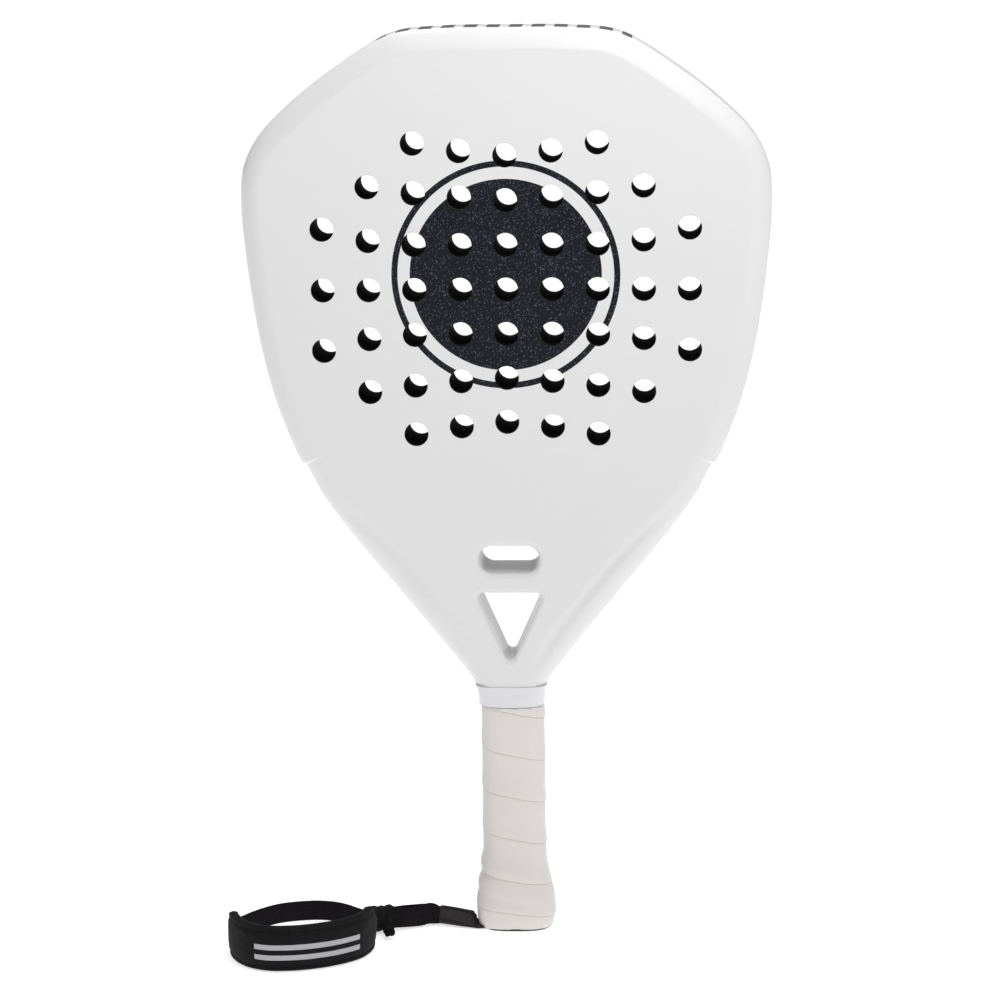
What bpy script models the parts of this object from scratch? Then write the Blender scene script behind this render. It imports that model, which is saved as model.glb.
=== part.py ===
"""Padel racket standing on its butt, with its wrist strap lying beside it.

Metres, +Z up. The origin is on the floor under the handle's axis, X runs across
the racket and the front face looks along -Y.
"""
import math

import bmesh
import bpy
from mathutils import Matrix, Vector

# ---------------------------------------------------------------- driving sizes
HEIGHT = 0.455
HALF_WIDTH = 0.130
FACE_PLANE = 0.019            # half of the head's thickness
GAP = 0.0003                  # left between pieces that touch
MERGE = 0.00002               # vertices closer than this are one

FACE_SHEET = 0.0014           # laminate thickness
TUBE_WALL = 0.0018
LEDGE = 0.0017                # step in the tube that the laminates sit in
LEDGE_RISE = 0.0004           # how far the step runs inwards as it drops

HOLE_RADIUS = 0.0059
HOLE_SIDES = 12
HOLE_PITCH = 0.02247
HOLE_CENTRE_Z = 0.3278
# heights of a column's holes above and below the centre row, by column number
HOLE_ROWS = (
    (0.0, 0.0219, 0.0437, 0.0656),
    (0.0, 0.0219, 0.0453, 0.0678),
    (0.0, 0.0222, 0.0474, 0.0716),
    (0.0, 0.0242, 0.0505),
    (0.0, 0.0299),
)

LEG_BOTTOM = 0.0130
LEG_HALF_WIDTH = 0.0148
LEG_HALF_DEPTH = 0.0135
FILLER_HALF = 0.0020
FILLER_TOP = 0.1285
BRIDGE_BOTTOM = 0.1300
BRIDGE_HALF_FOOT = 0.0026

FACE_ARC_Z = 0.2063           # lowest point of the faces' lower edge
FACE_ARC_RISE = 2.28          # rise of that edge per metre squared
FACE_ARC_POINTS = 13

HANDLE_POWER = 3.2            # squareness of the handle's section
HANDLE_SIDES = 28
GRIP_HALF_WIDTH = 0.0164
GRIP_HALF_DEPTH = 0.0152
GRIP_THICKNESS = 0.0011
GRIP_BOTTOM = 0.0019
GRIP_TOP = 0.1160
TAPE_TOP = 0.1266
TAPE_THICKNESS = 0.0004

CAP_RIM = 0.0016              # height of the rim that shows below the grip
CAP_PLATE = 0.0042
CAP_TOP = 0.0270
CAP_SEAT = 0.0126             # the legs stand on this ledge
GROOVE_HEIGHT = 0.0020
GROOVE_WIDTH = 0.0134
SLOT_X = (0.0014, 0.0044)
SLOT_FRONT = -0.0136

# handle pieces from the butt up, as (z, half width, half depth)
GRIP_ROWS = (
    (GRIP_BOTTOM, 0.0196, 0.0180), (0.0045, 0.0201, 0.0184), (0.0095, 0.0202, 0.0184),
    (0.0150, 0.0197, 0.0179), (0.0215, 0.0187, 0.0170), (0.0280, 0.0176, 0.0162),
    (0.0345, 0.0169, 0.0156), (0.0450, 0.0166, 0.0154), (0.0550, GRIP_HALF_WIDTH, GRIP_HALF_DEPTH),
    (0.0850, GRIP_HALF_WIDTH, GRIP_HALF_DEPTH), (GRIP_TOP, GRIP_HALF_WIDTH, GRIP_HALF_DEPTH),
)
TAPE_ROWS = (
    (GRIP_TOP + GAP, 0.0169, 0.0160), (0.1200, 0.0171, 0.0161), (0.1235, 0.0177, 0.0163),
    (TAPE_TOP, 0.0188, 0.0167),
)
# butt cap from its underside, up its outside, over its top and down inside
CAP_ROWS = (
    (0.0, 0.0186, 0.0170), (0.0005, 0.0191, 0.0175), (CAP_RIM, 0.0191, 0.0175),
    (CAP_RIM, 0.0181, 0.0165), (0.0045, 0.0186, 0.0169), (0.0095, 0.0187, 0.0169),
    (0.0150, 0.0182, 0.0164), (0.0215, 0.0172, 0.0155), (CAP_TOP, 0.0162, 0.0147),
    (CAP_TOP, 0.0153, 0.0140), (CAP_SEAT, 0.0153, 0.0140), (CAP_SEAT, 0.0138, 0.0136),
    (CAP_PLATE, 0.0138, 0.0136),
)

STRAP_Y = -0.0083             # centre of the strap where it leaves the cap
STRAP_HINGE = Vector((-0.0208, STRAP_Y, 0.0012))   # the strap swings about this, along Y
TAB_WIDTH = 0.0120
ROOT_THICKNESS = 0.0013
ROOT_HALF_WIDTH = 0.0052
ROOT_Y = -0.0078
BAR_Z = 0.0083
BAR_RADIUS = 0.0019
BAR_LENGTH = 0.0110
BAR_SIDES = 14
ROOT_END_X = -0.0192          # the swinging tab starts beyond this

CORD_WIDTH = 0.0104
CORD_THICKNESS = 0.0016

BAND_HEIGHT = 0.0230
BAND_END_HEIGHT = 0.0132
BAND_TAPER = 0.010
BAND_HALF = 0.0030            # half of the wrist band's thickness
COVER_THICKNESS = 0.0008
LINING_THICKNESS = 0.0007
BAND_CORD_OFFSET = 0.0011

KEEPER_CENTRE = Vector((-0.0665, -0.0185, 0.0070))
KEEPER_AXIS = Vector((0.884, 0.450, -0.054)).normalized()
KEEPER_LENGTH = 0.0105
KEEPER_HEIGHT = 0.0134
KEEPER_THICKNESS = 0.0090
KEEPER_WALL = 0.0011
KEEPER_CORNER = 0.15          # share of its half thickness cut off its corners
KNOT_START = Vector((-0.0643, -0.0229, 0.0052))    # beside the keeper
KNOT_END = Vector((-0.0611, -0.0324, 0.0032))
KNOT_SIDES = 12
# pull of the keeper, as (share of its length, radius)
KNOT_ROWS = (
    (0.0, 0.0009), (0.50, 0.0010), (0.55, 0.0021), (0.64, 0.0028), (0.76, 0.0030),
    (0.88, 0.0027), (0.96, 0.0019), (1.0, 0.0009),
)

# outer edge of the frame from the crown down the right-hand side, as (x, z)
OUTLINE = (
    (0.0, HEIGHT), (0.031, 0.4548), (0.056, 0.4518), (0.084, 0.4353), (0.1074, 0.4169),
    (0.1213, 0.4023), (0.1285, 0.3877), (HALF_WIDTH, 0.370), (0.1275, 0.337), (0.1218, 0.299),
    (0.1142, 0.269), (0.1045, 0.245), (0.0923, 0.2236), (0.0756, 0.2007), (0.0567, 0.1777),
    (0.0381, 0.1547), (0.0262, 0.1392), (0.0200, 0.1308), (0.0169, 0.1250), (0.0154, 0.1195),
    (LEG_HALF_WIDTH, 0.1130), (LEG_HALF_WIDTH, 0.085), (LEG_HALF_WIDTH, 0.050),
    (LEG_HALF_WIDTH, LEG_BOTTOM),
)
OUTLINE_STEPS = 2
SHARP_ANGLE = 35              # degrees

# how the frame's section changes with height, as (z, value)
TUBE_WIDTH = ((0.0, 0.0125), (0.115, 0.0125), (0.139, 0.016))
HALF_DEPTH = ((0.0, LEG_HALF_DEPTH), (0.115, LEG_HALF_DEPTH), (0.1266, 0.0150),
              (0.170, 0.0183), (0.210, FACE_PLANE))
SIDE_FLAT = ((0.0, 0.0048), (0.115, 0.0048), (0.160, 0.009), (0.300, 0.010))
BEVEL = ((0.0, 0.0082), (0.115, 0.0082), (0.150, 0.0105), (0.300, 0.011))
LEDGE_DEPTH = ((0.0, GAP), (0.184, GAP), (0.202, LEDGE))

# throat openings: a rounded triangle with a round-ended slot above it, as (x, z)
WINDOW = ((-0.0172, 0.1755), (0.0172, 0.1755), (0.0, 0.1372))
WINDOW_FILLET = 0.0026
VENT = ((-0.0150, 0.1995), (0.0150, 0.1995), (0.0150, 0.1855), (-0.0150, 0.1855))
VENT_FILLET = 0.0066

# strap: middle of the two cord layers from the tab to the keeper,
# as (point, tilt in degrees, distance of each layer from the middle)
NECK = (
    ((-0.0370, -0.0043, 0.0045), 22, 0.00105), ((-0.0410, -0.0050, 0.0056), 50, 0.00130),
    ((-0.0452, -0.0074, 0.0060), 76, 0.00180), ((-0.0495, -0.0098, 0.0060), 90, 0.00215),
    ((-0.0550, -0.0127, 0.0064), 90, 0.00215), ((-0.0610, -0.0157, 0.0067), 90, 0.00140),
    ((-0.0660, -0.0183, 0.0070), 90, 0.00106), ((-0.0710, -0.0208, 0.0073), 90, 0.00110),
)
# strap tab: (point, tilt in degrees, thickness)
TAB = (
    ((-0.0211, STRAP_Y, 0.0014), 3, 0.0015), ((-0.0255, -0.0074, 0.0036), 20, 0.0025),
    ((-0.0303, -0.0061, 0.0044), 23, 0.0036), ((-0.0366, -0.0042, 0.0048), 22, 0.0046),
)
SEAM_DIRECTION = Vector((-1.0, 0.0, 0.0))   # of the strap where the cord meets the tab
# cord from the keeper to the wrist band's right-hand end, and from its left-hand end back
CORD_FRONT = (
    (-0.0731, -0.0242, 0.0082), (-0.0732, -0.0284, 0.0094), (-0.0713, -0.0326, 0.0107),
    (-0.0695, -0.0360, 0.0115),
)
CORD_BACK = (
    (-0.1379, -0.0390, 0.0076), (-0.1338, -0.0285, 0.0072), (-0.1275, -0.0180, 0.0068),
    (-0.1195, -0.0096, 0.0066), (-0.1100, -0.0036, 0.0060), (-0.1000, -0.0018, 0.0059),
    (-0.0910, -0.0046, 0.0061), (-0.0842, -0.0104, 0.0065), (-0.0790, -0.0168, 0.0069),
    (-0.0750, -0.0204, 0.0071),
)
BAND = (
    (-0.0704, -0.0388), (-0.0708, -0.0500), (-0.0746, -0.0610), (-0.0825, -0.0696),
    (-0.0935, -0.0763), (-0.1060, -0.0802), (-0.1175, -0.0803), (-0.1265, -0.0756),
    (-0.1330, -0.0670), (-0.1366, -0.0570), (-0.1372, -0.0470),
)

COLOURS = {
    "paint": ((0.86, 0.86, 0.85), 0.42, 0.0),
    "foam": ((0.02, 0.02, 0.022), 0.85, 0.0),
    "filler": ((0.55, 0.50, 0.38), 0.90, 0.0),
    "sponge": ((0.05, 0.05, 0.052), 0.90, 0.0),
    "grip": ((0.78, 0.76, 0.74), 0.70, 0.0),
    "tape": ((0.82, 0.82, 0.84), 0.45, 0.0),
    "cap": ((0.03, 0.025, 0.03), 0.50, 0.0),
    "leatherette": ((0.05, 0.04, 0.045), 0.45, 0.0),
    "webbing": ((0.015, 0.014, 0.015), 0.90, 0.0),
    "band": ((0.025, 0.025, 0.027), 0.80, 0.0),
}


# ---------------------------------------------------------------- helpers
def clear_scene():
    for obj in list(bpy.data.objects):
        bpy.data.objects.remove(obj, do_unlink=True)


def new_collection(name):
    group = bpy.data.collections.new(name)
    bpy.context.scene.collection.children.link(group)
    return group


def make_material(name):
    colour, roughness, metallic = COLOURS[name]
    material = bpy.data.materials.new(name)
    material.use_nodes = True
    shader = material.node_tree.nodes["Principled BSDF"]
    shader.inputs["Base Color"].default_value = (*colour, 1.0)
    shader.inputs["Roughness"].default_value = roughness
    shader.inputs["Metallic"].default_value = metallic
    return material


def at_height(table, z):
    """Value from a table of (z, value), in straight lines between its rows."""
    if z <= table[0][0]:
        return table[0][1]
    for (z0, v0), (z1, v1) in zip(table, table[1:]):
        if z <= z1:
            return v0 + (v1 - v0) * (z - z0) / (z1 - z0)
    return table[-1][1]


def smooth(points, steps):
    """Centripetal Catmull-Rom curve through points, with steps pieces a span."""
    pts = [Vector(p) for p in points]
    pts = [2 * pts[0] - pts[1]] + pts + [2 * pts[-1] - pts[-2]]
    result = []
    for p0, p1, p2, p3 in zip(pts, pts[1:], pts[2:], pts[3:]):
        t0 = 0.0
        t1 = t0 + math.sqrt((p1 - p0).length)
        t2 = t1 + math.sqrt((p2 - p1).length)
        t3 = t2 + math.sqrt((p3 - p2).length)
        for k in range(steps):
            t = t1 + (t2 - t1) * k / steps
            a1 = p0 * ((t1 - t) / (t1 - t0)) + p1 * ((t - t0) / (t1 - t0))
            a2 = p1 * ((t2 - t) / (t2 - t1)) + p2 * ((t - t1) / (t2 - t1))
            a3 = p2 * ((t3 - t) / (t3 - t2)) + p3 * ((t - t2) / (t3 - t2))
            b1 = a1 * ((t2 - t) / (t2 - t0)) + a2 * ((t - t0) / (t2 - t0))
            b2 = a2 * ((t3 - t) / (t3 - t1)) + a3 * ((t - t1) / (t3 - t1))
            result.append(b1 * ((t2 - t) / (t2 - t1)) + b2 * ((t - t1) / (t2 - t1)))
    result.append(pts[-2].copy())
    return result


def tangents(points):
    ends = [points[0]] + list(points) + [points[-1]]
    return [(c - a).normalized() for a, c in zip(ends, ends[2:])]


def add_object(name, mesh, slot):
    """Object in the parts collection, shaded smooth, with its own copy of the slot's material."""
    mesh.name = name
    material = MATERIALS[slot].copy()
    material.name = name
    mesh.materials.clear()
    mesh.materials.append(material)
    mesh.shade_smooth()
    mesh.set_sharp_from_angle(angle=math.radians(SHARP_ANGLE))
    obj = bpy.data.objects.new(name, mesh)
    PARTS.objects.link(obj)
    return obj


def primitive_mesh():
    """Mesh of the primitive that was just added, whose object is removed."""
    guide = bpy.context.object
    mesh = guide.data
    bpy.data.objects.remove(guide, do_unlink=True)
    return mesh


def pivot(name, place):
    """Empty on a joint's axis, for the pieces that the joint moves."""
    empty = bpy.data.objects.new(name, None)
    empty.empty_display_size = 0.01
    empty.location = place
    PARTS.objects.link(empty)
    return empty


def attach(children, parent):
    """Parents the named objects to an empty and leaves them where they are."""
    bpy.context.view_layer.update()
    for name in children:
        child = bpy.data.objects[name]
        world = child.matrix_world.copy()
        child.parent = parent
        child.matrix_parent_inverse = parent.matrix_world.inverted()
        child.matrix_world = world


def loft(name, rings, slot, closed=False):
    """Closed solid through rings of points; closed joins the last ring to the first."""
    mesh = bpy.data.meshes.new(name)
    bm = bmesh.new()
    rows = [[bm.verts.new(p) for p in ring] for ring in rings]
    pairs = list(zip(rows, rows[1:]))
    if closed:
        pairs.append((rows[-1], rows[0]))
    else:
        bm.faces.new(rows[0])
        bm.faces.new(rows[-1])
    for lower, upper in pairs:
        count = len(lower)
        for i in range(count):
            j = (i + 1) % count
            bm.faces.new((lower[i], lower[j], upper[j], upper[i]))
    bmesh.ops.recalc_face_normals(bm, faces=bm.faces)
    bm.to_mesh(mesh)
    bm.free()
    return add_object(name, mesh, slot)


def flat_plate(outlines, half_thickness):
    """Mesh of a flat XZ outline with inner outlines as holes, centred on y = 0."""
    curve = bpy.data.curves.new("outline", "CURVE")
    curve.dimensions = "2D"
    curve.fill_mode = "BOTH"
    curve.extrude = half_thickness
    for outline in outlines:
        spline = curve.splines.new("POLY")
        spline.points.add(len(outline) - 1)
        for point, (x, z) in zip(spline.points, outline):
            point.co = (x, z, 0.0, 1.0)
        spline.use_cyclic_u = True
    guide = bpy.data.objects.new("outline", curve)
    bpy.context.scene.collection.objects.link(guide)
    guide.rotation_euler = (math.radians(90), 0.0, 0.0)
    bpy.context.view_layer.update()
    evaluated = guide.evaluated_get(bpy.context.evaluated_depsgraph_get())
    mesh = bpy.data.meshes.new_from_object(evaluated)
    mesh.transform(guide.matrix_world)
    bpy.data.objects.remove(guide, do_unlink=True)
    bm = bmesh.new()
    bm.from_mesh(mesh)
    bmesh.ops.remove_doubles(bm, verts=bm.verts, dist=MERGE)
    bmesh.ops.recalc_face_normals(bm, faces=bm.faces)
    bm.to_mesh(mesh)
    bm.free()
    return mesh


def fillet(corners, radius, steps=5):
    """Outline with every corner rounded."""
    result = []
    count = len(corners)
    for i in range(count):
        here = Vector(corners[i])
        back = (Vector(corners[i - 1]) - here).normalized()
        ahead = (Vector(corners[(i + 1) % count]) - here).normalized()
        half = back.angle(ahead) / 2
        centre = here + (back + ahead).normalized() * (radius / math.sin(half))
        start = here + back * (radius / math.tan(half)) - centre
        end = here + ahead * (radius / math.tan(half)) - centre
        sweep = math.atan2(start.x * end.y - start.y * end.x, start.dot(end))
        for k in range(steps + 1):
            angle = sweep * k / steps
            turned = Matrix.Rotation(angle, 2) @ start
            result.append(tuple(centre + turned))
    return result


def circle(x, z, radius, sides):
    step = 2 * math.pi / sides
    return [(x + radius * math.cos(step * (k + 0.5)), z + radius * math.sin(step * (k + 0.5)))
            for k in range(sides)]


def handle_ring(half_width, half_depth, z, sides=HANDLE_SIDES):
    """Rounded-square ring round the handle's axis."""
    ring = []
    for k in range(sides):
        angle = 2 * math.pi * (k + 0.5) / sides
        c, s = math.cos(angle), math.sin(angle)
        scale = (abs(c) ** HANDLE_POWER + abs(s) ** HANDLE_POWER) ** (-1 / HANDLE_POWER)
        ring.append((half_width * c * scale, half_depth * s * scale, z))
    return ring


# ---------------------------------------------------------------- frame
def frame_stations():
    """(point, inward normal) from the left leg's end, over the crown, to the right leg's end."""
    half = smooth([Vector((x, 0.0, z)) for x, z in OUTLINE], OUTLINE_STEPS)
    path = [Vector((-p.x, 0.0, p.z)) for p in reversed(half[1:])] + half
    return [(p, Vector((0, 1, 0)).cross(t).normalized()) for p, t in zip(path, tangents(path))]


def frame_section(z, inset=0.0):
    """Section of the tube as (distance inwards, y), shrunk by inset all round."""
    width = at_height(TUBE_WIDTH, z) - 2 * inset
    top = at_height(HALF_DEPTH, z) - inset
    side = at_height(SIDE_FLAT, z) - 0.4 * inset
    bevel = at_height(BEVEL, z) - 0.6 * inset
    ledge = at_height(LEDGE_DEPTH, z)
    rise = top - side
    upper = [
        (0.0, side), (0.07 * bevel, side + 0.30 * rise), (0.33 * bevel, side + 0.70 * rise),
        (0.67 * bevel, side + 0.92 * rise), (bevel, top), (bevel + LEDGE_RISE, top - ledge),
        (width, top - ledge),
    ]
    points = upper + [(n, -y) for n, y in reversed(upper)]
    return [(n + inset, y) for n, y in points]


def make_frame_tube(stations):
    def ring(point, normal, inset):
        return [point + normal * n + Vector((0, y, 0)) for n, y in frame_section(point.z, inset)]

    outside = [ring(p, n, 0.0) for p, n in stations]
    inside = [ring(p, n, TUBE_WALL) for p, n in stations]
    loft("frame_tube", outside + inside[::-1], "paint", closed=True)


def face_arc(x, drop=0.0):
    return FACE_ARC_Z - drop + FACE_ARC_RISE * x * x


def clipped(stations, distance, keep_above, drop=0.0):
    """Stations moved inwards by distance(z), cut off where they cross the faces' lower edge."""
    points = [p + n * distance(p.z) for p, n in stations]
    above = [q.z - face_arc(q.x, drop) for q in points]
    result = []
    for i, (q, height) in enumerate(zip(points, above)):
        if (height > 0) == keep_above:
            result.append((q.x, q.z))
        if i + 1 < len(points) and (height > 0) != (above[i + 1] > 0):
            cross = q.lerp(points[i + 1], height / (height - above[i + 1]))
            result.append((cross.x, face_arc(cross.x, drop)))
    return result


def arc_between(x_start, x_end, drop=0.0):
    """Points along the faces' lower edge, without its two ends."""
    step = (x_end - x_start) / FACE_ARC_POINTS
    return [(x_start + step * k, face_arc(x_start + step * k, drop)) for k in range(1, FACE_ARC_POINTS)]


def head_outline(stations, distance):
    """Closed outline of the head inside the tube, from left to right and back along the arc."""
    top = clipped(stations, distance, keep_above=True)
    return top + arc_between(top[-1][0], top[0][0])


def hole_outlines():
    holes = []
    for column in range(-4, 5):
        rows = HOLE_ROWS[abs(column)]
        heights = sorted({row * sign for row in rows for sign in (1, -1)})
        for height in heights:
            holes.append(circle(column * HOLE_PITCH, HOLE_CENTRE_Z + height, HOLE_RADIUS, HOLE_SIDES))
    return holes


def make_head(stations):
    holes = hole_outlines()
    core = head_outline(stations, lambda z: at_height(TUBE_WIDTH, z) + GAP)
    core_half = FACE_PLANE - FACE_SHEET - GAP
    add_object("eva_core", flat_plate([core] + holes, core_half), "foam")

    sheet = head_outline(stations, lambda z: at_height(BEVEL, z) + LEDGE_RISE + GAP)
    for name, side in (("front_face", -1), ("rear_face", 1)):
        mesh = flat_plate([sheet] + holes, FACE_SHEET / 2)
        mesh.transform(Matrix.Translation((0, side * (FACE_PLANE - FACE_SHEET / 2), 0)))
        add_object(name, mesh, "paint")


def make_throat_bridge(stations):
    """Moulded web between the arms, with its window and vent."""
    drop = GAP
    sides = clipped(stations, lambda z: at_height(TUBE_WIDTH, z) + GAP, False, drop)
    right = [(x, z) for x, z in sides if x > BRIDGE_HALF_FOOT and z > BRIDGE_BOTTOM]
    left = [(-x, z) for x, z in reversed(right)]
    outline = left + arc_between(left[-1][0], right[0][0], drop) + right
    mesh = flat_plate([outline, fillet(WINDOW, WINDOW_FILLET), fillet(VENT, VENT_FILLET)], 1.0)
    for vertex in mesh.vertices:
        depth = at_height(HALF_DEPTH, vertex.co.z) - GAP
        vertex.co.y = math.copysign(depth, vertex.co.y)
    add_object("throat_bridge", mesh, "paint")


def make_handle_core():
    rings = [[(sx * FILLER_HALF, sy * (LEG_HALF_DEPTH - GAP), z) for sx, sy in
              ((-1, -1), (1, -1), (1, 1), (-1, 1))] for z in (LEG_BOTTOM, FILLER_TOP)]
    loft("handle_core", rings, "filler")


# ---------------------------------------------------------------- handle
def sleeve(name, rows, thickness, slot):
    """Open sleeve round the handle from rows of (z, half width, half depth)."""
    outside = [handle_ring(a, b, z) for z, a, b in rows]
    inside = [handle_ring(a - thickness, b - thickness, z) for z, a, b in rows]
    return loft(name, outside + inside[::-1], slot, closed=True)


def make_grip():
    sleeve("grip_wrap", GRIP_ROWS, GRIP_THICKNESS, "grip")


def make_finishing_tape():
    sleeve("finishing_tape", TAPE_ROWS, TAPE_THICKNESS, "tape")


def box_cutter(name, low, high):
    bpy.ops.mesh.primitive_cube_add(size=1.0)
    mesh = primitive_mesh()
    size = Vector(high) - Vector(low)
    mesh.transform(Matrix.Diagonal((*size, 1.0)))
    cutter = bpy.data.objects.new(name, mesh)
    cutter.location = (Vector(low) + Vector(high)) / 2
    CUTTERS.objects.link(cutter)
    cutter.hide_render = True
    cutter.display_type = "WIRE"
    return cutter


def make_butt_cap():
    """Flared cup over the legs' ends, with the strap's slot and its groove underneath."""
    cap = loft("butt_cap", [handle_ring(a, b, z) for z, a, b in CAP_ROWS], "cap")
    front, back = STRAP_Y - GROOVE_WIDTH / 2, STRAP_Y + GROOVE_WIDTH / 2
    outside = -1.5 * CAP_ROWS[0][1]
    cuts = (
        box_cutter("cut_groove", (outside, front, -GROOVE_HEIGHT), (SLOT_X[1], back, GROOVE_HEIGHT)),
        box_cutter("cut_slot", (SLOT_X[0], SLOT_FRONT, -GROOVE_HEIGHT), (SLOT_X[1], back, CAP_PLATE * 2)),
    )
    for cutter in cuts:
        modifier = cap.modifiers.new(cutter.name, "BOOLEAN")
        modifier.operation = "DIFFERENCE"
        modifier.solver = "EXACT"
        modifier.object = cutter


# ---------------------------------------------------------------- strap
def make_strap_root():
    """Strap end in the cap: a flat run in the groove, up through the slot, round the bar."""
    bar_x = (SLOT_X[0] + SLOT_X[1]) / 2
    half = ROOT_THICKNESS / 2
    eye = BAR_RADIUS + GAP + ROOT_THICKNESS * 0.7
    start = math.asin(half / eye)
    steps = 16
    loop = []
    for k in range(steps + 1):
        angle = -math.pi / 2 + start + (2 * math.pi - 2 * start) * k / steps
        loop.append((bar_x + eye * math.cos(angle), BAR_Z + eye * math.sin(angle)))
    outline = [(ROOT_END_X, GAP), (bar_x + half, GAP)] + loop + [
        (bar_x - half, GAP + ROOT_THICKNESS), (ROOT_END_X, GAP + ROOT_THICKNESS)]
    bore = circle(bar_x, BAR_Z, BAR_RADIUS + GAP, BAR_SIDES)
    mesh = flat_plate([outline, bore], ROOT_HALF_WIDTH)
    mesh.transform(Matrix.Translation((0, ROOT_Y, 0)))
    add_object("strap_root", mesh, "leatherette")

    bpy.ops.mesh.primitive_cylinder_add(vertices=BAR_SIDES, radius=BAR_RADIUS, depth=BAR_LENGTH)
    bar = add_object("strap_anchor_bar", primitive_mesh(), "cap")
    bar.rotation_euler.x = math.radians(90)
    bar.location = (bar_x, ROOT_Y, BAR_Z)


def strip_frame(tangent, tilt):
    """Thickness and width directions of a flat strip, tilt degrees up from lying flat."""
    level = Vector((tangent.y, -tangent.x, 0)).normalized()
    angle = math.radians(tilt)
    up = Vector((0, 0, 1))
    across = level * math.cos(angle) + up * math.sin(angle)
    through = level * math.sin(angle) - up * math.cos(angle)
    return through, across


def flat_section(width, thickness, corner=0.45):
    """Rectangle as (through, across), with a share of its half thickness cut off its corners."""
    a, b = thickness / 2, width / 2
    c = min(a, b) * corner
    return [(-a, -b + c), (-a + c, -b), (a - c, -b), (a, -b + c),
            (a, b - c), (a - c, b), (-a + c, b), (-a, b - c)]


def strip_ring(point, tangent, tilt, section):
    through, across = strip_frame(tangent, tilt)
    return [point + through * u + across * v for u, v in section]


def make_strap_tab():
    directions = tangents([Vector(p) for p, tilt, thickness in TAB])
    directions[0] = SEAM_DIRECTION
    directions[-1] = SEAM_DIRECTION
    rings = [strip_ring(Vector(p), d, tilt, flat_section(TAB_WIDTH, thickness))
             for d, (p, tilt, thickness) in zip(directions, TAB)]
    loft("strap_tab", rings, "leatherette")


def band_path():
    """Wrist band's centre line, right-hand end first; its left-hand end droops to the floor."""
    middle = BAND_HEIGHT / 2
    points = smooth([Vector((x, y, middle)) for x, y in BAND], 2)
    run = [0.0]
    for a, b in zip(points, points[1:]):
        run.append(run[-1] + (b - a).length)
    for point, distance in zip(points, run):
        if distance > run[-1] / 2:
            point.z = middle * band_scale(distance, run[-1])
    return points, tangents(points), run


def band_scale(distance, total):
    """Share of its full height that the wrist band has, less towards both ends."""
    near = min(distance, total - distance) / BAND_TAPER
    t = min(1.0, max(0.0, near))
    end = BAND_END_HEIGHT / BAND_HEIGHT
    return end + (1 - end) * t * t * (3 - 2 * t)


def make_strap_cord():
    """The one length of flat braid: tab, keeper, wrist band, back through the keeper, tab."""
    along = tangents([Vector(p) for p, tilt, gap in NECK])
    layers = [[Vector(p) + strip_frame(t, tilt)[0] * (side * gap)
               for t, (p, tilt, gap) in zip(along, NECK)] for side in (-1, 1)]
    outward, inward = sorted(layers, key=lambda layer: layer[-1].y)
    points, directions, run = band_path()
    in_band = [p + strip_frame(t, 90)[0] * -BAND_CORD_OFFSET for p, t in zip(points, directions)]
    route = (outward + [Vector(p) for p in CORD_FRONT] + in_band[::2]
             + [Vector(p) for p in CORD_BACK] + inward[::-1])
    tilts = ([tilt for p, tilt, gap in NECK] + [90] * (len(route) - 2 * len(NECK))
             + [180 - tilt for p, tilt, gap in reversed(NECK)])
    pairs = smooth([Vector((*p, tilt / 1000)) for p, tilt in zip(route, tilts)], 2)
    path = [Vector(q[:3]) for q in pairs]
    directions = tangents(path)
    directions[0] = SEAM_DIRECTION
    directions[-1] = -SEAM_DIRECTION
    section = flat_section(CORD_WIDTH, CORD_THICKNESS)
    rings = [strip_ring(p, t, q[3] * 1000, section) for p, t, q in zip(path, directions, pairs)]
    loft("strap_cord", rings, "webbing")


def make_wristband():
    points, directions, run = band_path()
    half = BAND_HEIGHT / 2
    inner = -BAND_HALF
    wall = COVER_THICKNESS
    cover = [(inner, -half), (BAND_HALF, -half), (BAND_HALF, half), (inner, half),
             (inner, half - wall), (BAND_HALF - wall, half - wall),
             (BAND_HALF - wall, -half + wall), (inner, -half + wall)]
    edge = half - wall - GAP

    def slab(low, high):
        return [(low, -edge), (high, -edge), (high, edge), (low, edge)]

    lining_top = inner + LINING_THICKNESS
    pieces = (
        ("wristband_cover", cover, "band"),
        ("wristband_lining", slab(inner, lining_top), "band"),
        ("wristband_pad", slab(lining_top + GAP, 0.0), "sponge"),
    )
    for name, section, slot in pieces:
        rings = []
        for p, t, s in zip(points, directions, run):
            scale = band_scale(s, run[-1])
            squeezed = []
            for u, v in section:
                fixed = half - abs(v)
                squeezed.append((-u, math.copysign(half * scale - fixed, v)))
            rings.append(strip_ring(p, t, 90, squeezed))
        loft(name, rings, slot)


def make_keeper():
    """Fabric sleeve round both cord layers, and its pull with a knotted end."""
    level = Vector((-KEEPER_AXIS.y, KEEPER_AXIS.x, 0)).normalized()
    up = KEEPER_AXIS.cross(level).normalized()

    def ring(offset, width, height):
        centre = KEEPER_CENTRE + KEEPER_AXIS * offset
        return [centre + level * u + up * v for u, v in flat_section(height, width, KEEPER_CORNER)]

    half = KEEPER_LENGTH / 2
    outer = (KEEPER_THICKNESS, KEEPER_HEIGHT)
    inner = (KEEPER_THICKNESS - 2 * KEEPER_WALL, KEEPER_HEIGHT - 2 * KEEPER_WALL)
    rings = [ring(-half, *outer), ring(half, *outer), ring(half, *inner), ring(-half, *inner)]
    loft("keeper_sleeve", rings, "band", closed=True)

    pull = KNOT_END - KNOT_START
    turn = pull.to_track_quat("Z", "Y")
    loft("keeper_knot", [[KNOT_START + pull * share + turn @ Vector((x, z, 0.0))
                          for x, z in circle(0.0, 0.0, radius, KNOT_SIDES)]
                         for share, radius in KNOT_ROWS], "webbing")


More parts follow.
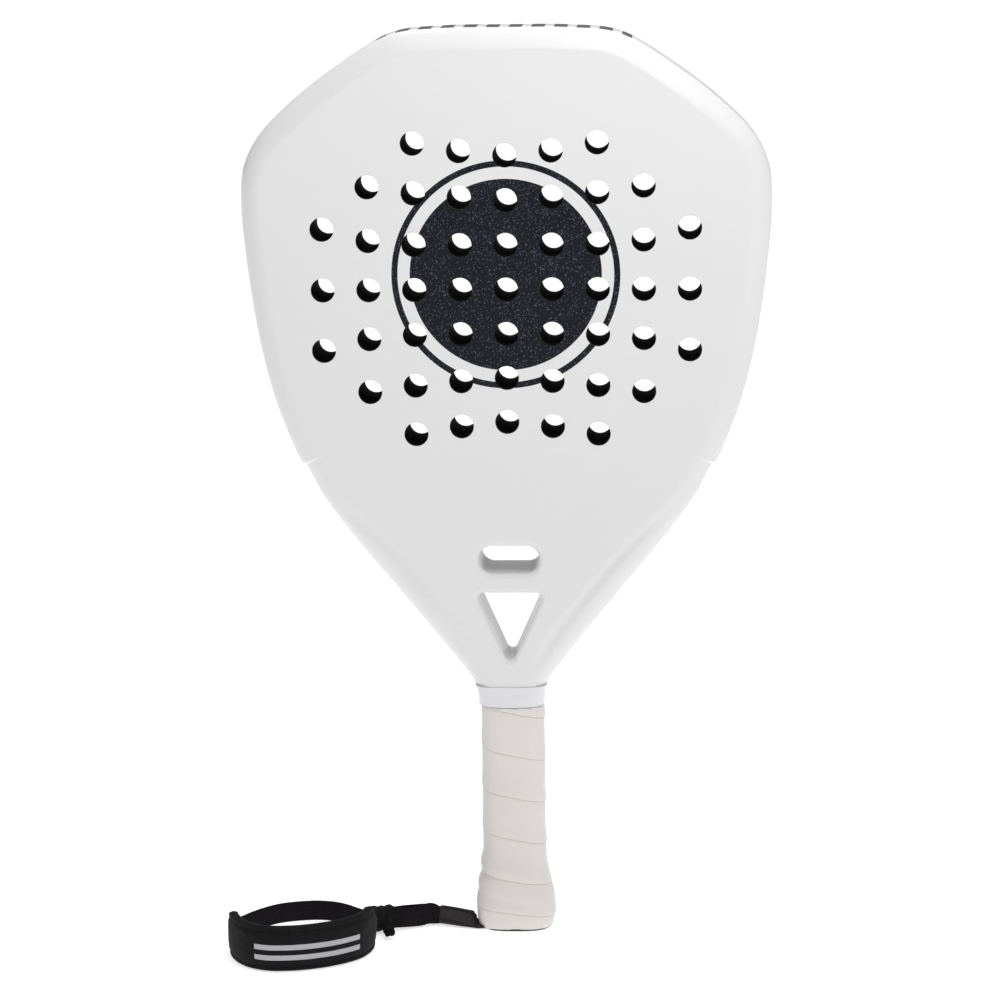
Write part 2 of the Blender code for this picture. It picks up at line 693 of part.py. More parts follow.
def main():
    stations = frame_stations()
    make_frame_tube(stations)
    make_head(stations)
    make_throat_bridge(stations)
    make_handle_core()
    make_grip()
    make_finishing_tape()
    make_butt_cap()
    make_strap_root()
    make_strap_tab()
    make_strap_cord()
    make_wristband()
    make_keeper()
    strap = pivot("strap_pivot", STRAP_HINGE)
    attach(("strap_tab", "strap_cord", "wristband_cover", "wristband_pad", "wristband_lining"), strap)
    keeper = pivot("keeper_pivot", KEEPER_CENTRE)
    attach(("keeper_sleeve", "keeper_knot"), keeper)
    attach(("keeper_pivot",), strap)


clear_scene()
PARTS = new_collection("padel_racket")
CUTTERS = new_collection("cutters")
MATERIALS = {name: make_material(name) for name in COLOURS}
main()
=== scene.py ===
"""Looks of the padel racket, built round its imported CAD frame.

Metres, +Z up, in the frame's own axes: X runs across the racket, the front face looks
along -Y, and the racket stands on its butt with its wrist strap beside it.
"""
import math

import bmesh
import bpy
from mathutils import Matrix, Vector, noise


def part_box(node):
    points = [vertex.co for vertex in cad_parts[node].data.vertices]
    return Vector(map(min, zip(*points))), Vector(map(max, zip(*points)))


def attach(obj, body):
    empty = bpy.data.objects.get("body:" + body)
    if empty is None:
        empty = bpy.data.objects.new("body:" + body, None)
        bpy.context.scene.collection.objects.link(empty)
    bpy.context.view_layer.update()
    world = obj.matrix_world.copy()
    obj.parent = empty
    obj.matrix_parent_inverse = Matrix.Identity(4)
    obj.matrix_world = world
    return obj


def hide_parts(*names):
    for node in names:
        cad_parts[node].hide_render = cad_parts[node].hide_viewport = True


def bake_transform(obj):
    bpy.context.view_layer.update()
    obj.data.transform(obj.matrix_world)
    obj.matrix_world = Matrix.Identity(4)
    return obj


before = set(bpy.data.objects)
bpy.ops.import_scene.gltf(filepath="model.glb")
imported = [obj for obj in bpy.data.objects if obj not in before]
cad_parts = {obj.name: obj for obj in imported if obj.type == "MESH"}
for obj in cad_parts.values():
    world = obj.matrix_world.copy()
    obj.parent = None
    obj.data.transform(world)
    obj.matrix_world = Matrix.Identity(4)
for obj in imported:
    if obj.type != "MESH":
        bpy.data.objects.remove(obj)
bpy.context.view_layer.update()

# ---------------------------------------------------------------- sizes
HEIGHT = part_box("frame_tube")[1].z
HALF_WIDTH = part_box("frame_tube")[1].x
FACE_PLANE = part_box("rear_face")[1].y
GRIP_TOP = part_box("grip_wrap")[1].z
FACE_SHEET = 0.0014

CAMERA_PLACE = (0.0792, -1.6769, 0.5391)
CAMERA_TURN = (79.223, -0.654, 2.874)     # degrees: tilt up from straight down, roll, turn
CAMERA_LENS = 122.98
FLOOR_REACH = 60.0
SKY = (0.06, 0.76)            # strength of the sky at the horizon's level and straight up
LAMPS = (("key", (0.20, -0.32, 0.80), 0.4, 1.6), ("top", (0.0, 0.2, 1.3), 0.6, 3.3))
LAMP_AIM = Vector((0, 0, 0.40))

# outer edge of the frame from the crown down the right-hand side, as (x, z)
OUTLINE = (
    (0.0, HEIGHT), (0.031, 0.4548), (0.056, 0.4518), (0.084, 0.4353), (0.1074, 0.4169),
    (0.1213, 0.4023), (0.1285, 0.3877), (HALF_WIDTH, 0.370), (0.1275, 0.337), (0.1218, 0.299),
    (0.1142, 0.269), (0.1045, 0.245), (0.0923, 0.2236), (0.0756, 0.2007), (0.0567, 0.1777),
    (0.0381, 0.1547), (0.0262, 0.1392), (0.0200, 0.1308), (0.0169, 0.1250), (0.0154, 0.1195),
    (0.0148, 0.1130), (0.0148, 0.085), (0.0148, 0.050), (0.0148, 0.013),
)
OUTLINE_STEPS = 12
BAND_END_Z = 0.2402           # the raised outer band of the head stops here
BAND_STEP = 0.0013
BAND_RAISE = 0.0004           # the outer band stands this far out just above its end

# row of plain dashes along the crown: half pitch, half gap, then how far the row reaches
DASH_HALF_PITCH = 0.0055
DASH_HALF_GAP = 0.00225
DASH_REACH = 0.06205
DASH_DROP = 0.00645
DASH_HALF_WIDTH = 0.01215

# how the frame's section changes with height, as (z, value)
TUBE_WIDTH = ((0.0, 0.0125), (0.115, 0.0125), (0.139, 0.016))
HALF_DEPTH = ((0.0, 0.0135), (0.115, 0.0135), (0.1266, 0.0150), (0.170, 0.0183), (0.210, FACE_PLANE))
SIDE_FLAT = ((0.0, 0.0048), (0.115, 0.0048), (0.160, 0.009), (0.300, 0.010))
BEVEL = ((0.0, 0.0082), (0.115, 0.0082), (0.150, 0.0105), (0.300, 0.011))
CREASE = ((0.380, 0.0), (0.440, 1.0))     # 0 is a rounded edge, 1 a chamfer with a crease
LIP = ((0.205, 0.0), (0.216, 0.00006))    # how far the tube dips under the laminates
VALLEY_DEPTH = ((0.122, 0.0), (0.140, 0.0010), (0.205, 0.0011), (0.243, 0.0))
VALLEY_PLACE = ((0.122, 0.0085), (0.150, 0.0118), (0.190, 0.0120), (0.212, 0.0075), (0.240, 0.0020))
VALLEY_WIDTH = 0.0024

FACE_ARC_Z = 0.2063
FACE_ARC_RISE = 2.28
HOLE_RADIUS = 0.0059
HOLE_SIDES = 44
HOLE_PITCH = 0.02247
HOLE_CENTRE_Z = 0.3278
HOLE_ROWS = (
    (0.0, 0.0219, 0.0437, 0.0656), (0.0, 0.0219, 0.0453, 0.0678), (0.0, 0.0222, 0.0474, 0.0716),
    (0.0, 0.0242, 0.0505), (0.0, 0.0299),
)
MARK_Z = 0.3350               # height of the painted disc and ring
DISC_RADIUS = 0.0470
RING_RADII = (0.0530, 0.0560)
WINDOW = ((-0.0172, 0.1755), (0.0172, 0.1755), (0.0, 0.1372))
WINDOW_FILLET = 0.0026
VENT = ((-0.0150, 0.1995), (0.0150, 0.1995), (0.0150, 0.1855), (-0.0150, 0.1855))
VENT_FILLET = 0.0066
THROAT_EDGE = 0.0026          # radius of the rounded edges round the throat's openings
THROAT_LOW = 0.1180           # the web starts at this height, under the finishing tape
THROAT_TUCK = 0.0030          # the web goes this far under the arms
THROAT_RISE = -0.0040         # and its upper edge this far above the faces' lower edge

HANDLE_POWER = 3.2
# grip from the butt up, as (z, half width, half depth, how far its middle lies to the right)
GRIP_ROWS = (
    (0.0008, 0.0190, 0.0176, 0.0010), (0.0045, 0.0199, 0.0182, 0.0011), (0.0095, 0.0201, 0.0182, 0.0011),
    (0.0150, 0.0195, 0.0177, 0.0011), (0.0215, 0.0182, 0.0168, 0.0009), (0.0280, 0.0169, 0.0161, 0.0008),
    (0.0345, 0.0163, 0.0156, 0.0007), (0.0450, 0.0161, 0.0154, 0.0006), (0.0550, 0.0160, 0.0152, 0.0005),
    (0.0850, 0.0160, 0.0152, 0.0005), (0.1200, 0.0160, 0.0152, 0.0004),
)
GRIP_EDGE = 0.0009            # height of the cap's rim that shows below the grip
CAP_HALF_WIDTH = 0.0183
TAPE_ROWS = ((0.1163, 0.0166, 0.0155), (0.1200, 0.0168, 0.0155), (0.1235, 0.0173, 0.0154),
             (0.1266, 0.0182, 0.0154))
TAPE_POWER = 4.4              # squareness of the tape's upper edge
TAPE_REACH = 0.0030           # the tape's upper edge turns in this far, on to the arms
WRAP_PITCH = 0.0219
WRAP_LAP = 0.00036
WRAP_SEAM_Z = 0.0913          # height of one seam at the middle of the front
WRAP_LOW_Z = 0.0256           # below this seam the turns are closer together
WRAP_LOW_PITCH = 0.0163
WRAP_TURNS = (-3, 7)          # turns wound above and below the middle seam
# one turn from its lower edge: (share of the pitch, share of the lap, painted shade in the seam)
WRAP_STRIP = (
    (0.0, -0.45, 1.0), (0.004, 0.35, 0.7), (0.012, 0.85, 0.2), (0.024, 1.0, 0.0), (0.08, 1.0, 0.0),
    (0.15, 0.92, 0.0), (0.22, 0.62, 0.0), (0.29, 0.32, 0.0), (0.37, 0.12, 0.0), (0.47, 0.02, 0.0),
    (0.60, 0.0, 0.0), (0.75, 0.0, 0.0), (0.90, 0.0, 0.0), (0.97, -0.05, 0.0), (0.992, -0.2, 0.3),
)
# soft ridges over the flare, as (height of the ridge, its width, how far it stands out)
BULGES = ((0.0305, 0.0034, 0.0010), (0.0196, 0.0032, 0.0013), (0.0098, 0.0040, 0.0003))

STRAP_Y = -0.0083
TAB_WIDTH = 0.0120
CORD_WIDTH = 0.0104
CORD_THICKNESS = 0.0016
CORD_RIBS = 7
BAND_HEIGHT = 0.0230
BAND_END_HEIGHT = 0.0132
BAND_TAPER = 0.010
BAND_CORD_OFFSET = 0.0011
KEEPER_CENTRE = Vector((-0.0665, -0.0185, 0.0070))
KEEPER_AXIS = Vector((0.884, 0.450, -0.054)).normalized()
KEEPER_SIZE = (0.0105, 0.0134, 0.0090)    # length, height, thickness
KEEPER_WALL = 0.0011
KNOT_CENTRE = Vector((-0.0620, -0.0302, 0.0034))
KNOT_SIZE = 0.00072
KNOT_CORD_RADIUS = 0.00115
KNOT_LEAD = Vector((0.0008, -0.0045, -0.0022))    # the pull leaves the keeper here

# the strap's route: the same points as in the CAD part
NECK = (
    ((-0.0370, -0.0043, 0.0045), 22, 0.00105), ((-0.0410, -0.0050, 0.0056), 50, 0.00130),
    ((-0.0452, -0.0074, 0.0060), 76, 0.00180), ((-0.0495, -0.0098, 0.0060), 90, 0.00215),
    ((-0.0550, -0.0127, 0.0064), 90, 0.00215), ((-0.0610, -0.0157, 0.0067), 90, 0.00140),
    ((-0.0660, -0.0183, 0.0070), 90, 0.00106), ((-0.0710, -0.0208, 0.0073), 90, 0.00110),
)
TAB = (
    ((-0.0150, STRAP_Y, 0.0011), 0, 0.0013), ((-0.0176, STRAP_Y, 0.0011), 1, 0.0013),
    ((-0.0196, STRAP_Y, 0.0026), 15, 0.0015), ((-0.0218, -0.0081, 0.0036), 24, 0.0018),
    ((-0.0262, -0.0071, 0.0040), 24, 0.0028), ((-0.0303, -0.0061, 0.0044), 23, 0.0036),
    ((-0.0376, -0.0040, 0.0048), 22, 0.0044),
)
SEAM_DIRECTION = Vector((-1.0, 0.0, 0.0))
CORD_FRONT = (
    (-0.0731, -0.0242, 0.0082), (-0.0732, -0.0284, 0.0094), (-0.0713, -0.0326, 0.0107),
    (-0.0695, -0.0360, 0.0115),
)
CORD_BACK = (
    (-0.1379, -0.0390, 0.0076), (-0.1338, -0.0285, 0.0072), (-0.1275, -0.0180, 0.0068),
    (-0.1195, -0.0096, 0.0066), (-0.1100, -0.0036, 0.0060), (-0.1000, -0.0018, 0.0059),
    (-0.0910, -0.0046, 0.0061), (-0.0842, -0.0104, 0.0065), (-0.0790, -0.0168, 0.0069),
    (-0.0750, -0.0204, 0.0071),
)
BAND = (
    (-0.0704, -0.0388), (-0.0708, -0.0500), (-0.0746, -0.0610), (-0.0825, -0.0696),
    (-0.0935, -0.0763), (-0.1060, -0.0802), (-0.1175, -0.0803), (-0.1265, -0.0756),
    (-0.1330, -0.0670), (-0.1366, -0.0570), (-0.1372, -0.0470),
)
BAR_ENDS = (0.02565, 0.07765)  # two light bars, measured along the wrist band
BAR_EDGES = (0.0013, 0.0039)   # and up or down from its middle
STITCH_INSET = 0.0026
STITCH_PITCH = 0.0029
STITCH_DEPTH = 0.0022
TAB_STITCH_PITCH = 0.0021
TAB_STITCH_ACROSS = 0.0034


# ---------------------------------------------------------------- curves and tables
def at_height(table, z):
    """Value from a table of (z, value), in straight lines between its rows."""
    if z <= table[0][0]:
        return table[0][1]
    for (z0, v0), (z1, v1) in zip(table, table[1:]):
        if z <= z1:
            return v0 + (v1 - v0) * (z - z0) / (z1 - z0)
    return table[-1][1]


def soft(table, z, reach=0.006, samples=7):
    """at_height with its corners rounded, by an average over heights within reach."""
    offsets = [reach * (2 * k / (samples - 1) - 1) for k in range(samples)]
    return sum(at_height(table, z + d) for d in offsets) / samples


def ramp(t):
    """Smooth step from 0 to 1 as t goes from 0 to 1."""
    t = min(1.0, max(0.0, t))
    return t * t * (3 - 2 * t)


def between(a, b, start, end, t):
    """Value at t on the line that is a at start and b at end."""
    return a * ((end - t) / (end - start)) + b * ((t - start) / (end - start))


def smooth(points, steps):
    """Centripetal Catmull-Rom curve through points of any dimension, steps pieces a span."""
    pts = [Vector(p) for p in points]
    pts = [2 * pts[0] - pts[1]] + pts + [2 * pts[-1] - pts[-2]]
    result = []
    for p0, p1, p2, p3 in zip(pts, pts[1:], pts[2:], pts[3:]):
        t0 = 0.0
        t1 = t0 + math.sqrt((p1 - p0).length)
        t2 = t1 + math.sqrt((p2 - p1).length)
        t3 = t2 + math.sqrt((p3 - p2).length)
        for k in range(steps):
            t = t1 + (t2 - t1) * k / steps
            middle = between(p1, p2, t1, t2, t)
            before = between(between(p0, p1, t0, t1, t), middle, t0, t2, t)
            after = between(middle, between(p2, p3, t2, t3, t), t1, t3, t)
            result.append(between(before, after, t1, t2, t))
    result.append(pts[-2].copy())
    return result


def tangents(points):
    """Unit direction of the path at each of its points."""
    ends = [points[0]] + list(points) + [points[-1]]
    return [(c - a).normalized() for a, c in zip(ends, ends[2:])]


def run_lengths(points):
    """Distance along the path at each of its points."""
    run = [0.0]
    for a, b in zip(points, points[1:]):
        run.append(run[-1] + (b - a).length)
    return run


def spaced(path, run, start, end, pitch):
    """Yields (index, point) at every pitch along a path whose run_lengths are run."""
    distance = start
    while distance < end:
        i = max(k for k in range(len(run) - 1) if run[k] <= distance)
        yield i, path[i].lerp(path[i + 1], (distance - run[i]) / (run[i + 1] - run[i]))
        distance += pitch


def circle(x, z, radius, sides):
    step = 2 * math.pi / sides
    return [(x + radius * math.cos(step * k), z + radius * math.sin(step * k)) for k in range(sides)]


def fillet(corners, radius, steps=14):
    """Outline with every corner rounded."""
    result = []
    count = len(corners)
    for i in range(count):
        here = Vector(corners[i])
        back = (Vector(corners[i - 1]) - here).normalized()
        ahead = (Vector(corners[(i + 1) % count]) - here).normalized()
        half = back.angle(ahead) / 2
        centre = here + (back + ahead).normalized() * (radius / math.sin(half))
        start = here + back * (radius / math.tan(half)) - centre
        end = here + ahead * (radius / math.tan(half)) - centre
        sweep = math.atan2(start.x * end.y - start.y * end.x, start.dot(end))
        for k in range(steps + 1):
            result.append(tuple(centre + Matrix.Rotation(sweep * k / steps, 2) @ start))
    return result


# ---------------------------------------------------------------- materials
class Graph:
    """A Principled material and short ways to add nodes to it."""

    def __init__(self, name, colour, roughness, **sockets):
        self.material = bpy.data.materials.new(name)
        self.material.use_nodes = True
        self.tree = self.material.node_tree
        self.shader = self.tree.nodes["Principled BSDF"]
        self.shader.inputs["Base Color"].default_value = (*colour, 1.0)
        self.shader.inputs["Roughness"].default_value = roughness
        for key, value in sockets.items():
            self.shader.inputs[key.replace("_", " ")].default_value = value
        self.coords = self.tree.nodes.new("ShaderNodeTexCoord")

    def link(self, value, socket):
        if isinstance(value, bpy.types.NodeSocket):
            self.tree.links.new(value, socket)
        else:
            socket.default_value = value

    def mapped(self, scale=(1, 1, 1), source="Object"):
        node = self.tree.nodes.new("ShaderNodeMapping")
        self.tree.links.new(self.coords.outputs[source], node.inputs["Vector"])
        node.inputs["Scale"].default_value = scale
        return node.outputs["Vector"]

    def noise(self, scale, detail=3.0, stretch=(1, 1, 1)):
        node = self.tree.nodes.new("ShaderNodeTexNoise")
        self.link(self.mapped(stretch), node.inputs["Vector"])
        node.inputs["Scale"].default_value = scale
        node.inputs["Detail"].default_value = detail
        return node.outputs["Fac"]

    def cells(self, scale):
        node = self.tree.nodes.new("ShaderNodeTexVoronoi")
        self.link(self.mapped(), node.inputs["Vector"])
        node.inputs["Scale"].default_value = scale
        return node.outputs

    def math(self, operation, a, b=0.0):
        node = self.tree.nodes.new("ShaderNodeMath")
        node.operation = operation
        for value, socket in zip((a, b), node.inputs):
            self.link(value, socket)
        return node.outputs[0]

    def split(self, vector):
        node = self.tree.nodes.new("ShaderNodeSeparateXYZ")
        self.link(vector, node.inputs[0])
        return list(node.outputs)

    def ramp(self, value, low, high, to_low=0.0, to_high=1.0):
        """Maps value smoothly from low..high to to_low..to_high."""
        node = self.tree.nodes.new("ShaderNodeMapRange")
        node.interpolation_type = "SMOOTHSTEP"
        for key, v in (("Value", value), ("From Min", low), ("From Max", high),
                       ("To Min", to_low), ("To Max", to_high)):
            self.link(v, node.inputs[key])
        return node.outputs["Result"]

    def between(self, value, low, high, edge):
        """1 where value lies from low to high, with borders 2 * edge wide."""
        return self.math("MULTIPLY", self.ramp(value, low - edge, low + edge),
                         self.ramp(value, high + edge, high - edge))

    def mix(self, factor, a, b):
        node = self.tree.nodes.new("ShaderNodeMix")
        node.data_type = "RGBA"
        self.link(factor, node.inputs["Factor"])
        for value, key in ((a, "A"), (b, "B")):
            socket = [s for s in node.inputs if s.name == key and s.type == "RGBA"][0]
            self.link(value if isinstance(value, bpy.types.NodeSocket) else (*value, 1.0), socket)
        return [s for s in node.outputs if s.type == "RGBA"][0]

    def set_socket(self, name, value):
        self.link(value, self.shader.inputs[name])

    def colour(self, value):
        self.set_socket("Base Color", value)

    def bump(self, height, distance, strength=1.0):
        node = self.tree.nodes.new("ShaderNodeBump")
        node.inputs["Strength"].default_value = strength
        node.inputs["Distance"].default_value = distance
        self.link(height, node.inputs["Height"])
        previous = self.shader.inputs["Normal"]
        if previous.is_linked:
            self.link(previous.links[0].from_socket, node.inputs["Normal"])
        self.link(node.outputs["Normal"], previous)


WHITE = (0.80, 0.80, 0.795)
WHITE_LOW = (0.775, 0.778, 0.78)
DARK_PAINT = (0.0075, 0.0082, 0.0135)


def white_paint(name):
    """Satin white paint with a faint orange peel and a little unevenness of tone."""
    graph = Graph(name, WHITE, 0.38, Coat_Weight=0.18, Coat_Roughness=0.22)
    graph.bump(graph.noise(900, 2), 0.00002)
    graph.set_socket("Roughness", graph.ramp(graph.noise(60, 3), 0.3, 0.7, 0.34, 0.44))
    graph.tone = graph.mix(graph.noise(22, 4), WHITE_LOW, WHITE)
    graph.colour(graph.tone)
    return graph


def shell_paint():
    """White paint with a row of plain dark dashes along the crown."""
    graph = white_paint("shell_paint")
    edge = 0.00005
    x, y, z = graph.split(graph.mapped())
    along = graph.math("ABSOLUTE", x)
    dash = graph.math("PINGPONG", along, DASH_HALF_PITCH)
    across = graph.math("ABSOLUTE", y)
    mark = 1.0
    for value, limit, side in ((dash, DASH_HALF_GAP, edge), (along, DASH_REACH, -edge),
                               (z, HEIGHT - DASH_DROP, edge), (across, DASH_HALF_WIDTH, -edge)):
        mark = graph.math("MULTIPLY", mark, graph.ramp(value, limit - side, limit + side))
    graph.colour(graph.mix(mark, graph.tone, (0.085, 0.085, 0.095)))
    return graph.material


def face_paint():
    """White paint over a faint weave, with a plain dark disc and ring in sparkling paint."""
    graph = white_paint("face_paint")
    edge = 0.0001
    weave = graph.noise(1.0, 3, (90, 90, 900))
    graph.bump(weave, 0.00003)
    tone = graph.mix(graph.ramp(weave, 0.35, 0.65, 0.0, 0.35), graph.tone, WHITE_LOW)
    x, z = graph.split(graph.mapped())[::2]
    dx = graph.math("POWER", graph.math("ABSOLUTE", x), 2.0)
    dz = graph.math("POWER", graph.math("ABSOLUTE", graph.math("SUBTRACT", z, MARK_Z)), 2.0)
    distance = graph.math("SQRT", graph.math("ADD", dx, dz))
    disc = graph.ramp(distance, DISC_RADIUS + edge, DISC_RADIUS - edge)
    mark = graph.math("MAXIMUM", disc, graph.between(distance, *RING_RADII, edge))
    sparkle = graph.ramp(graph.split(graph.cells(2300)["Color"])[0], 0.86, 1.0)
    dark = graph.mix(graph.math("MULTIPLY", sparkle, 0.55), DARK_PAINT, (0.16, 0.19, 0.28))
    graph.colour(graph.mix(mark, tone, dark))
    graph.set_socket("Specular IOR Level", graph.math("SUBTRACT", 0.5, graph.math("MULTIPLY", mark, 0.38)))
    graph.set_socket("Coat Weight", graph.math("SUBTRACT", 0.18, graph.math("MULTIPLY", mark, 0.12)))
    return graph.material


def drilled_edge():
    """Raw dark edge of the sheets inside the drilled holes."""
    graph = Graph("drilled_edge", (0.03, 0.028, 0.027), 0.8, Specular_IOR_Level=0.2)
    graph.colour(graph.mix(graph.noise(1500, 2, (1, 3, 1)), (0.012, 0.012, 0.013), (0.06, 0.055, 0.052)))
    return graph.material


def foam(name, low, high):
    """Closed-cell foam between two tones."""
    graph = Graph(name, low, 0.88, Specular_IOR_Level=0.12)
    cells = graph.noise(1600, 2)
    graph.colour(graph.mix(graph.ramp(cells, 0.4, 0.75), low, high))
    graph.bump(cells, 0.00012, 0.7)
    return graph.material


def grip_skin():
    """Matt polyurethane tape: fine grain, pores and a warm unevenness, with painted shade along its seams.
    """
    graph = Graph("grip_skin", (0.79, 0.755, 0.735), 0.62, Sheen_Weight=0.12)
    tone = graph.mix(graph.noise(38, 4), (0.755, 0.712, 0.688), (0.83, 0.792, 0.768))
    # the "lap" layer carries painted shade: each seam, where one turn laps over the next, is darkened
    lap = graph.tree.nodes.new("ShaderNodeAttribute")
    lap.attribute_name = "lap"
    graph.colour(graph.mix(graph.math("MULTIPLY", lap.outputs["Fac"], 0.45), tone, (0.42, 0.36, 0.32)))
    graph.bump(graph.noise(420, 3, (1, 1, 0.45)), 0.00009, 0.6)
    graph.bump(graph.noise(2600, 1), 0.00003, 0.5)
    return graph.material


def tape_film():
    """Glossy film, stretched round the handle."""
    graph = Graph("tape_film", (0.78, 0.78, 0.80), 0.34, Coat_Weight=0.25, Coat_Roughness=0.2)
    graph.colour(graph.mix(graph.noise(70, 3), (0.765, 0.765, 0.787), (0.80, 0.80, 0.818)))
    graph.bump(graph.noise(140, 3, (0.25, 0.25, 1.6)), 0.00012, 0.5)
    return graph.material


def cap_plastic():
    """Dark moulded plastic with a fine grain."""
    graph = Graph("cap_moulding", (0.022, 0.013, 0.015), 0.50, Specular_IOR_Level=0.25)
    grain = graph.noise(1400, 2)
    graph.colour(graph.mix(grain, (0.018, 0.011, 0.013), (0.028, 0.018, 0.020)))
    graph.bump(grain, 0.00004, 0.6)
    return graph.material


def leatherette():
    """Dark coated cloth with a pebbled skin."""
    graph = Graph("leatherette_skin", (0.024, 0.018, 0.021), 0.55, Specular_IOR_Level=0.22)
    height = graph.math("ADD", graph.cells(1900)["Distance"], graph.noise(500, 2))
    graph.colour(graph.mix(graph.ramp(height, 0.5, 1.3), (0.007, 0.0055, 0.0065), (0.020, 0.0150, 0.018)))
    graph.bump(height, 0.00010, 0.7)
    return graph.material


def braid():
    """Flat braided webbing: yarns crossing both ways between the lengthwise ribs."""
    graph = Graph("braid_yarn", (0.007, 0.006, 0.007), 0.85, Specular_IOR_Level=0.10)
    u, v = graph.split(graph.mapped(source="UV"))[:2]
    lean = graph.math("MULTIPLY", graph.math("PINGPONG", v, CORD_WIDTH / CORD_RIBS), 1.1)
    pitch = 2 * math.pi / 0.00125
    wave = graph.math("SINE", graph.math("MULTIPLY", graph.math("ADD", u, lean), pitch))
    height = graph.math("ADD", wave, graph.math("MULTIPLY", graph.noise(5200, 1), 0.8))
    # the yarns' colour follows their height: painted highlight on the crests and painted shade between the
    # yarns
    depth = graph.ramp(height, -0.6, 1.6)
    graph.colour(graph.mix(depth, (0.0015, 0.0013, 0.0015), (0.0210, 0.0180, 0.0210)))
    graph.bump(height, 0.00012, 0.8)
    return graph.material


def woven(name, low, high, bars=False):
    """Close plain weave; bars prints two plain light stripes along the band."""
    graph = Graph(name, low, 0.80, Specular_IOR_Level=0.12, Sheen_Weight=0.03, Sheen_Roughness=0.45)
    u, v = graph.split(graph.mapped(source="UV"))[:2]
    pitch = 2 * math.pi / 0.00062
    warp = graph.math("SINE", graph.math("MULTIPLY", u, pitch))
    weft = graph.math("SINE", graph.math("MULTIPLY", v, pitch))
    cloth = graph.math("MULTIPLY", warp, weft)
    # the colour follows the threads' rise as well as a random tone: painted highlight on the crests and
    # painted shade between the threads
    patch = graph.math("ADD", cloth, graph.math("MULTIPLY", graph.noise(160, 4), 2.2))
    tone = graph.mix(graph.ramp(patch, 0.0, 2.4), low, high)
    graph.bump(cloth, 0.00006, 0.7)
    graph.bump(graph.noise(130, 3), 0.0006, 0.35)
    if bars:
        level = graph.math("ABSOLUTE", graph.math("SUBTRACT", v, BAND_HEIGHT / 2))
        stripes = graph.between(level, *BAR_EDGES, 0.0001)
        length = graph.between(u, *BAR_ENDS, 0.00015)
        tone = graph.mix(graph.math("MULTIPLY", length, stripes), tone, (0.50, 0.50, 0.52))
    graph.colour(tone)
    return graph.material


def thread():
    """Dark sewing thread."""
    graph = Graph("thread", (0.006, 0.005, 0.006), 0.7, Specular_IOR_Level=0.15)
    graph.bump(graph.noise(4200, 1), 0.00004, 0.6)
    graph.colour(graph.mix(graph.noise(900, 2), (0.003, 0.003, 0.003), (0.009, 0.008, 0.009)))
    return graph.material


# ---------------------------------------------------------------- mesh helpers
def add_piece(name, mesh, material, slot, body="racket", sharp=40):
    """Object from a mesh, shaded smooth, that rides on a body; body None leaves that out."""
    mesh.name = name
    mesh.materials.clear()
    mesh.materials.append(material)
    mesh.shade_smooth()
    mesh.set_sharp_from_angle(angle=math.radians(sharp))
    obj = bpy.data.objects.new(name, mesh)
    bpy.context.scene.collection.objects.link(obj)
    if body:
        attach(obj, body)
    return obj


def finished(bm, name):
    """Mesh from a bmesh, which is freed."""
    mesh = bpy.data.meshes.new(name)
    bm.to_mesh(mesh)
    bm.free()
    return mesh


def grid(name, rows, along, across, ring=False):
    """Mesh through closed rows of points, with a UV map of metres along and across.

    ring joins the last row to the first; otherwise a face closes each end.
    """
    bm = bmesh.new()
    uv = bm.loops.layers.uv.new("UVMap")
    verts = [[bm.verts.new(p) for p in row] for row in rows]
    count = len(rows[0])
    for r in range(len(rows) if ring else len(rows) - 1):
        low, high = verts[r], verts[(r + 1) % len(rows)]
        for c in range(count):
            d = (c + 1) % count
            face = bm.faces.new((low[c], low[d], high[d], high[c]))
            corners = ((r, c), (r, c + 1), (r + 1, c + 1), (r + 1, c))
            for loop, (i, j) in zip(face.loops, corners):
                loop[uv].uv = (along[i], across[j])
    if not ring:
        bm.faces.new(verts[0])
        bm.faces.new(verts[-1])
    bmesh.ops.recalc_face_normals(bm, faces=bm.faces)
    return finished(bm, name)


def curve_mesh(curve):
    """Mesh of a curve, through an object that is then removed."""
    guide = bpy.data.objects.new(curve.name, curve)
    bpy.context.scene.collection.objects.link(guide)
    bpy.context.view_layer.update()
    mesh = bpy.data.meshes.new_from_object(guide.evaluated_get(bpy.context.evaluated_depsgraph_get()))
    bpy.data.objects.remove(guide, do_unlink=True)
    return mesh


def plate_mesh(outlines, half, edge, resolution=3):
    """Flat XZ plate with holes, centred on y = 0, its edges rounded by radius edge."""
    curve = bpy.data.curves.new("outline", "CURVE")
    curve.dimensions = "2D"
    curve.fill_mode = "BOTH"
    curve.extrude = half - edge
    curve.bevel_depth = edge
    curve.bevel_resolution = resolution
    curve.offset = -edge
    for outline in outlines:
        spline = curve.splines.new("POLY")
        spline.points.add(len(outline) - 1)
        for point, (x, z) in zip(spline.points, outline):
            point.co = (x, z, 0.0, 1.0)
        spline.use_cyclic_u = True
    mesh = curve_mesh(curve)
    mesh.transform(Matrix.Rotation(math.radians(90), 4, "X"))
    bm = bmesh.new()
    bm.from_mesh(mesh)
    bmesh.ops.remove_doubles(bm, verts=bm.verts, dist=0.00001)
    bmesh.ops.recalc_face_normals(bm, faces=bm.faces)
    bm.to_mesh(mesh)
    bm.free()
    return mesh


def flat_normals(obj):
    """Lets the large flat faces keep their own shading beside rounded edges."""
    modifier = obj.modifiers.new("normals", "WEIGHTED_NORMAL")
    modifier.keep_sharp = True
    modifier.weight = 100


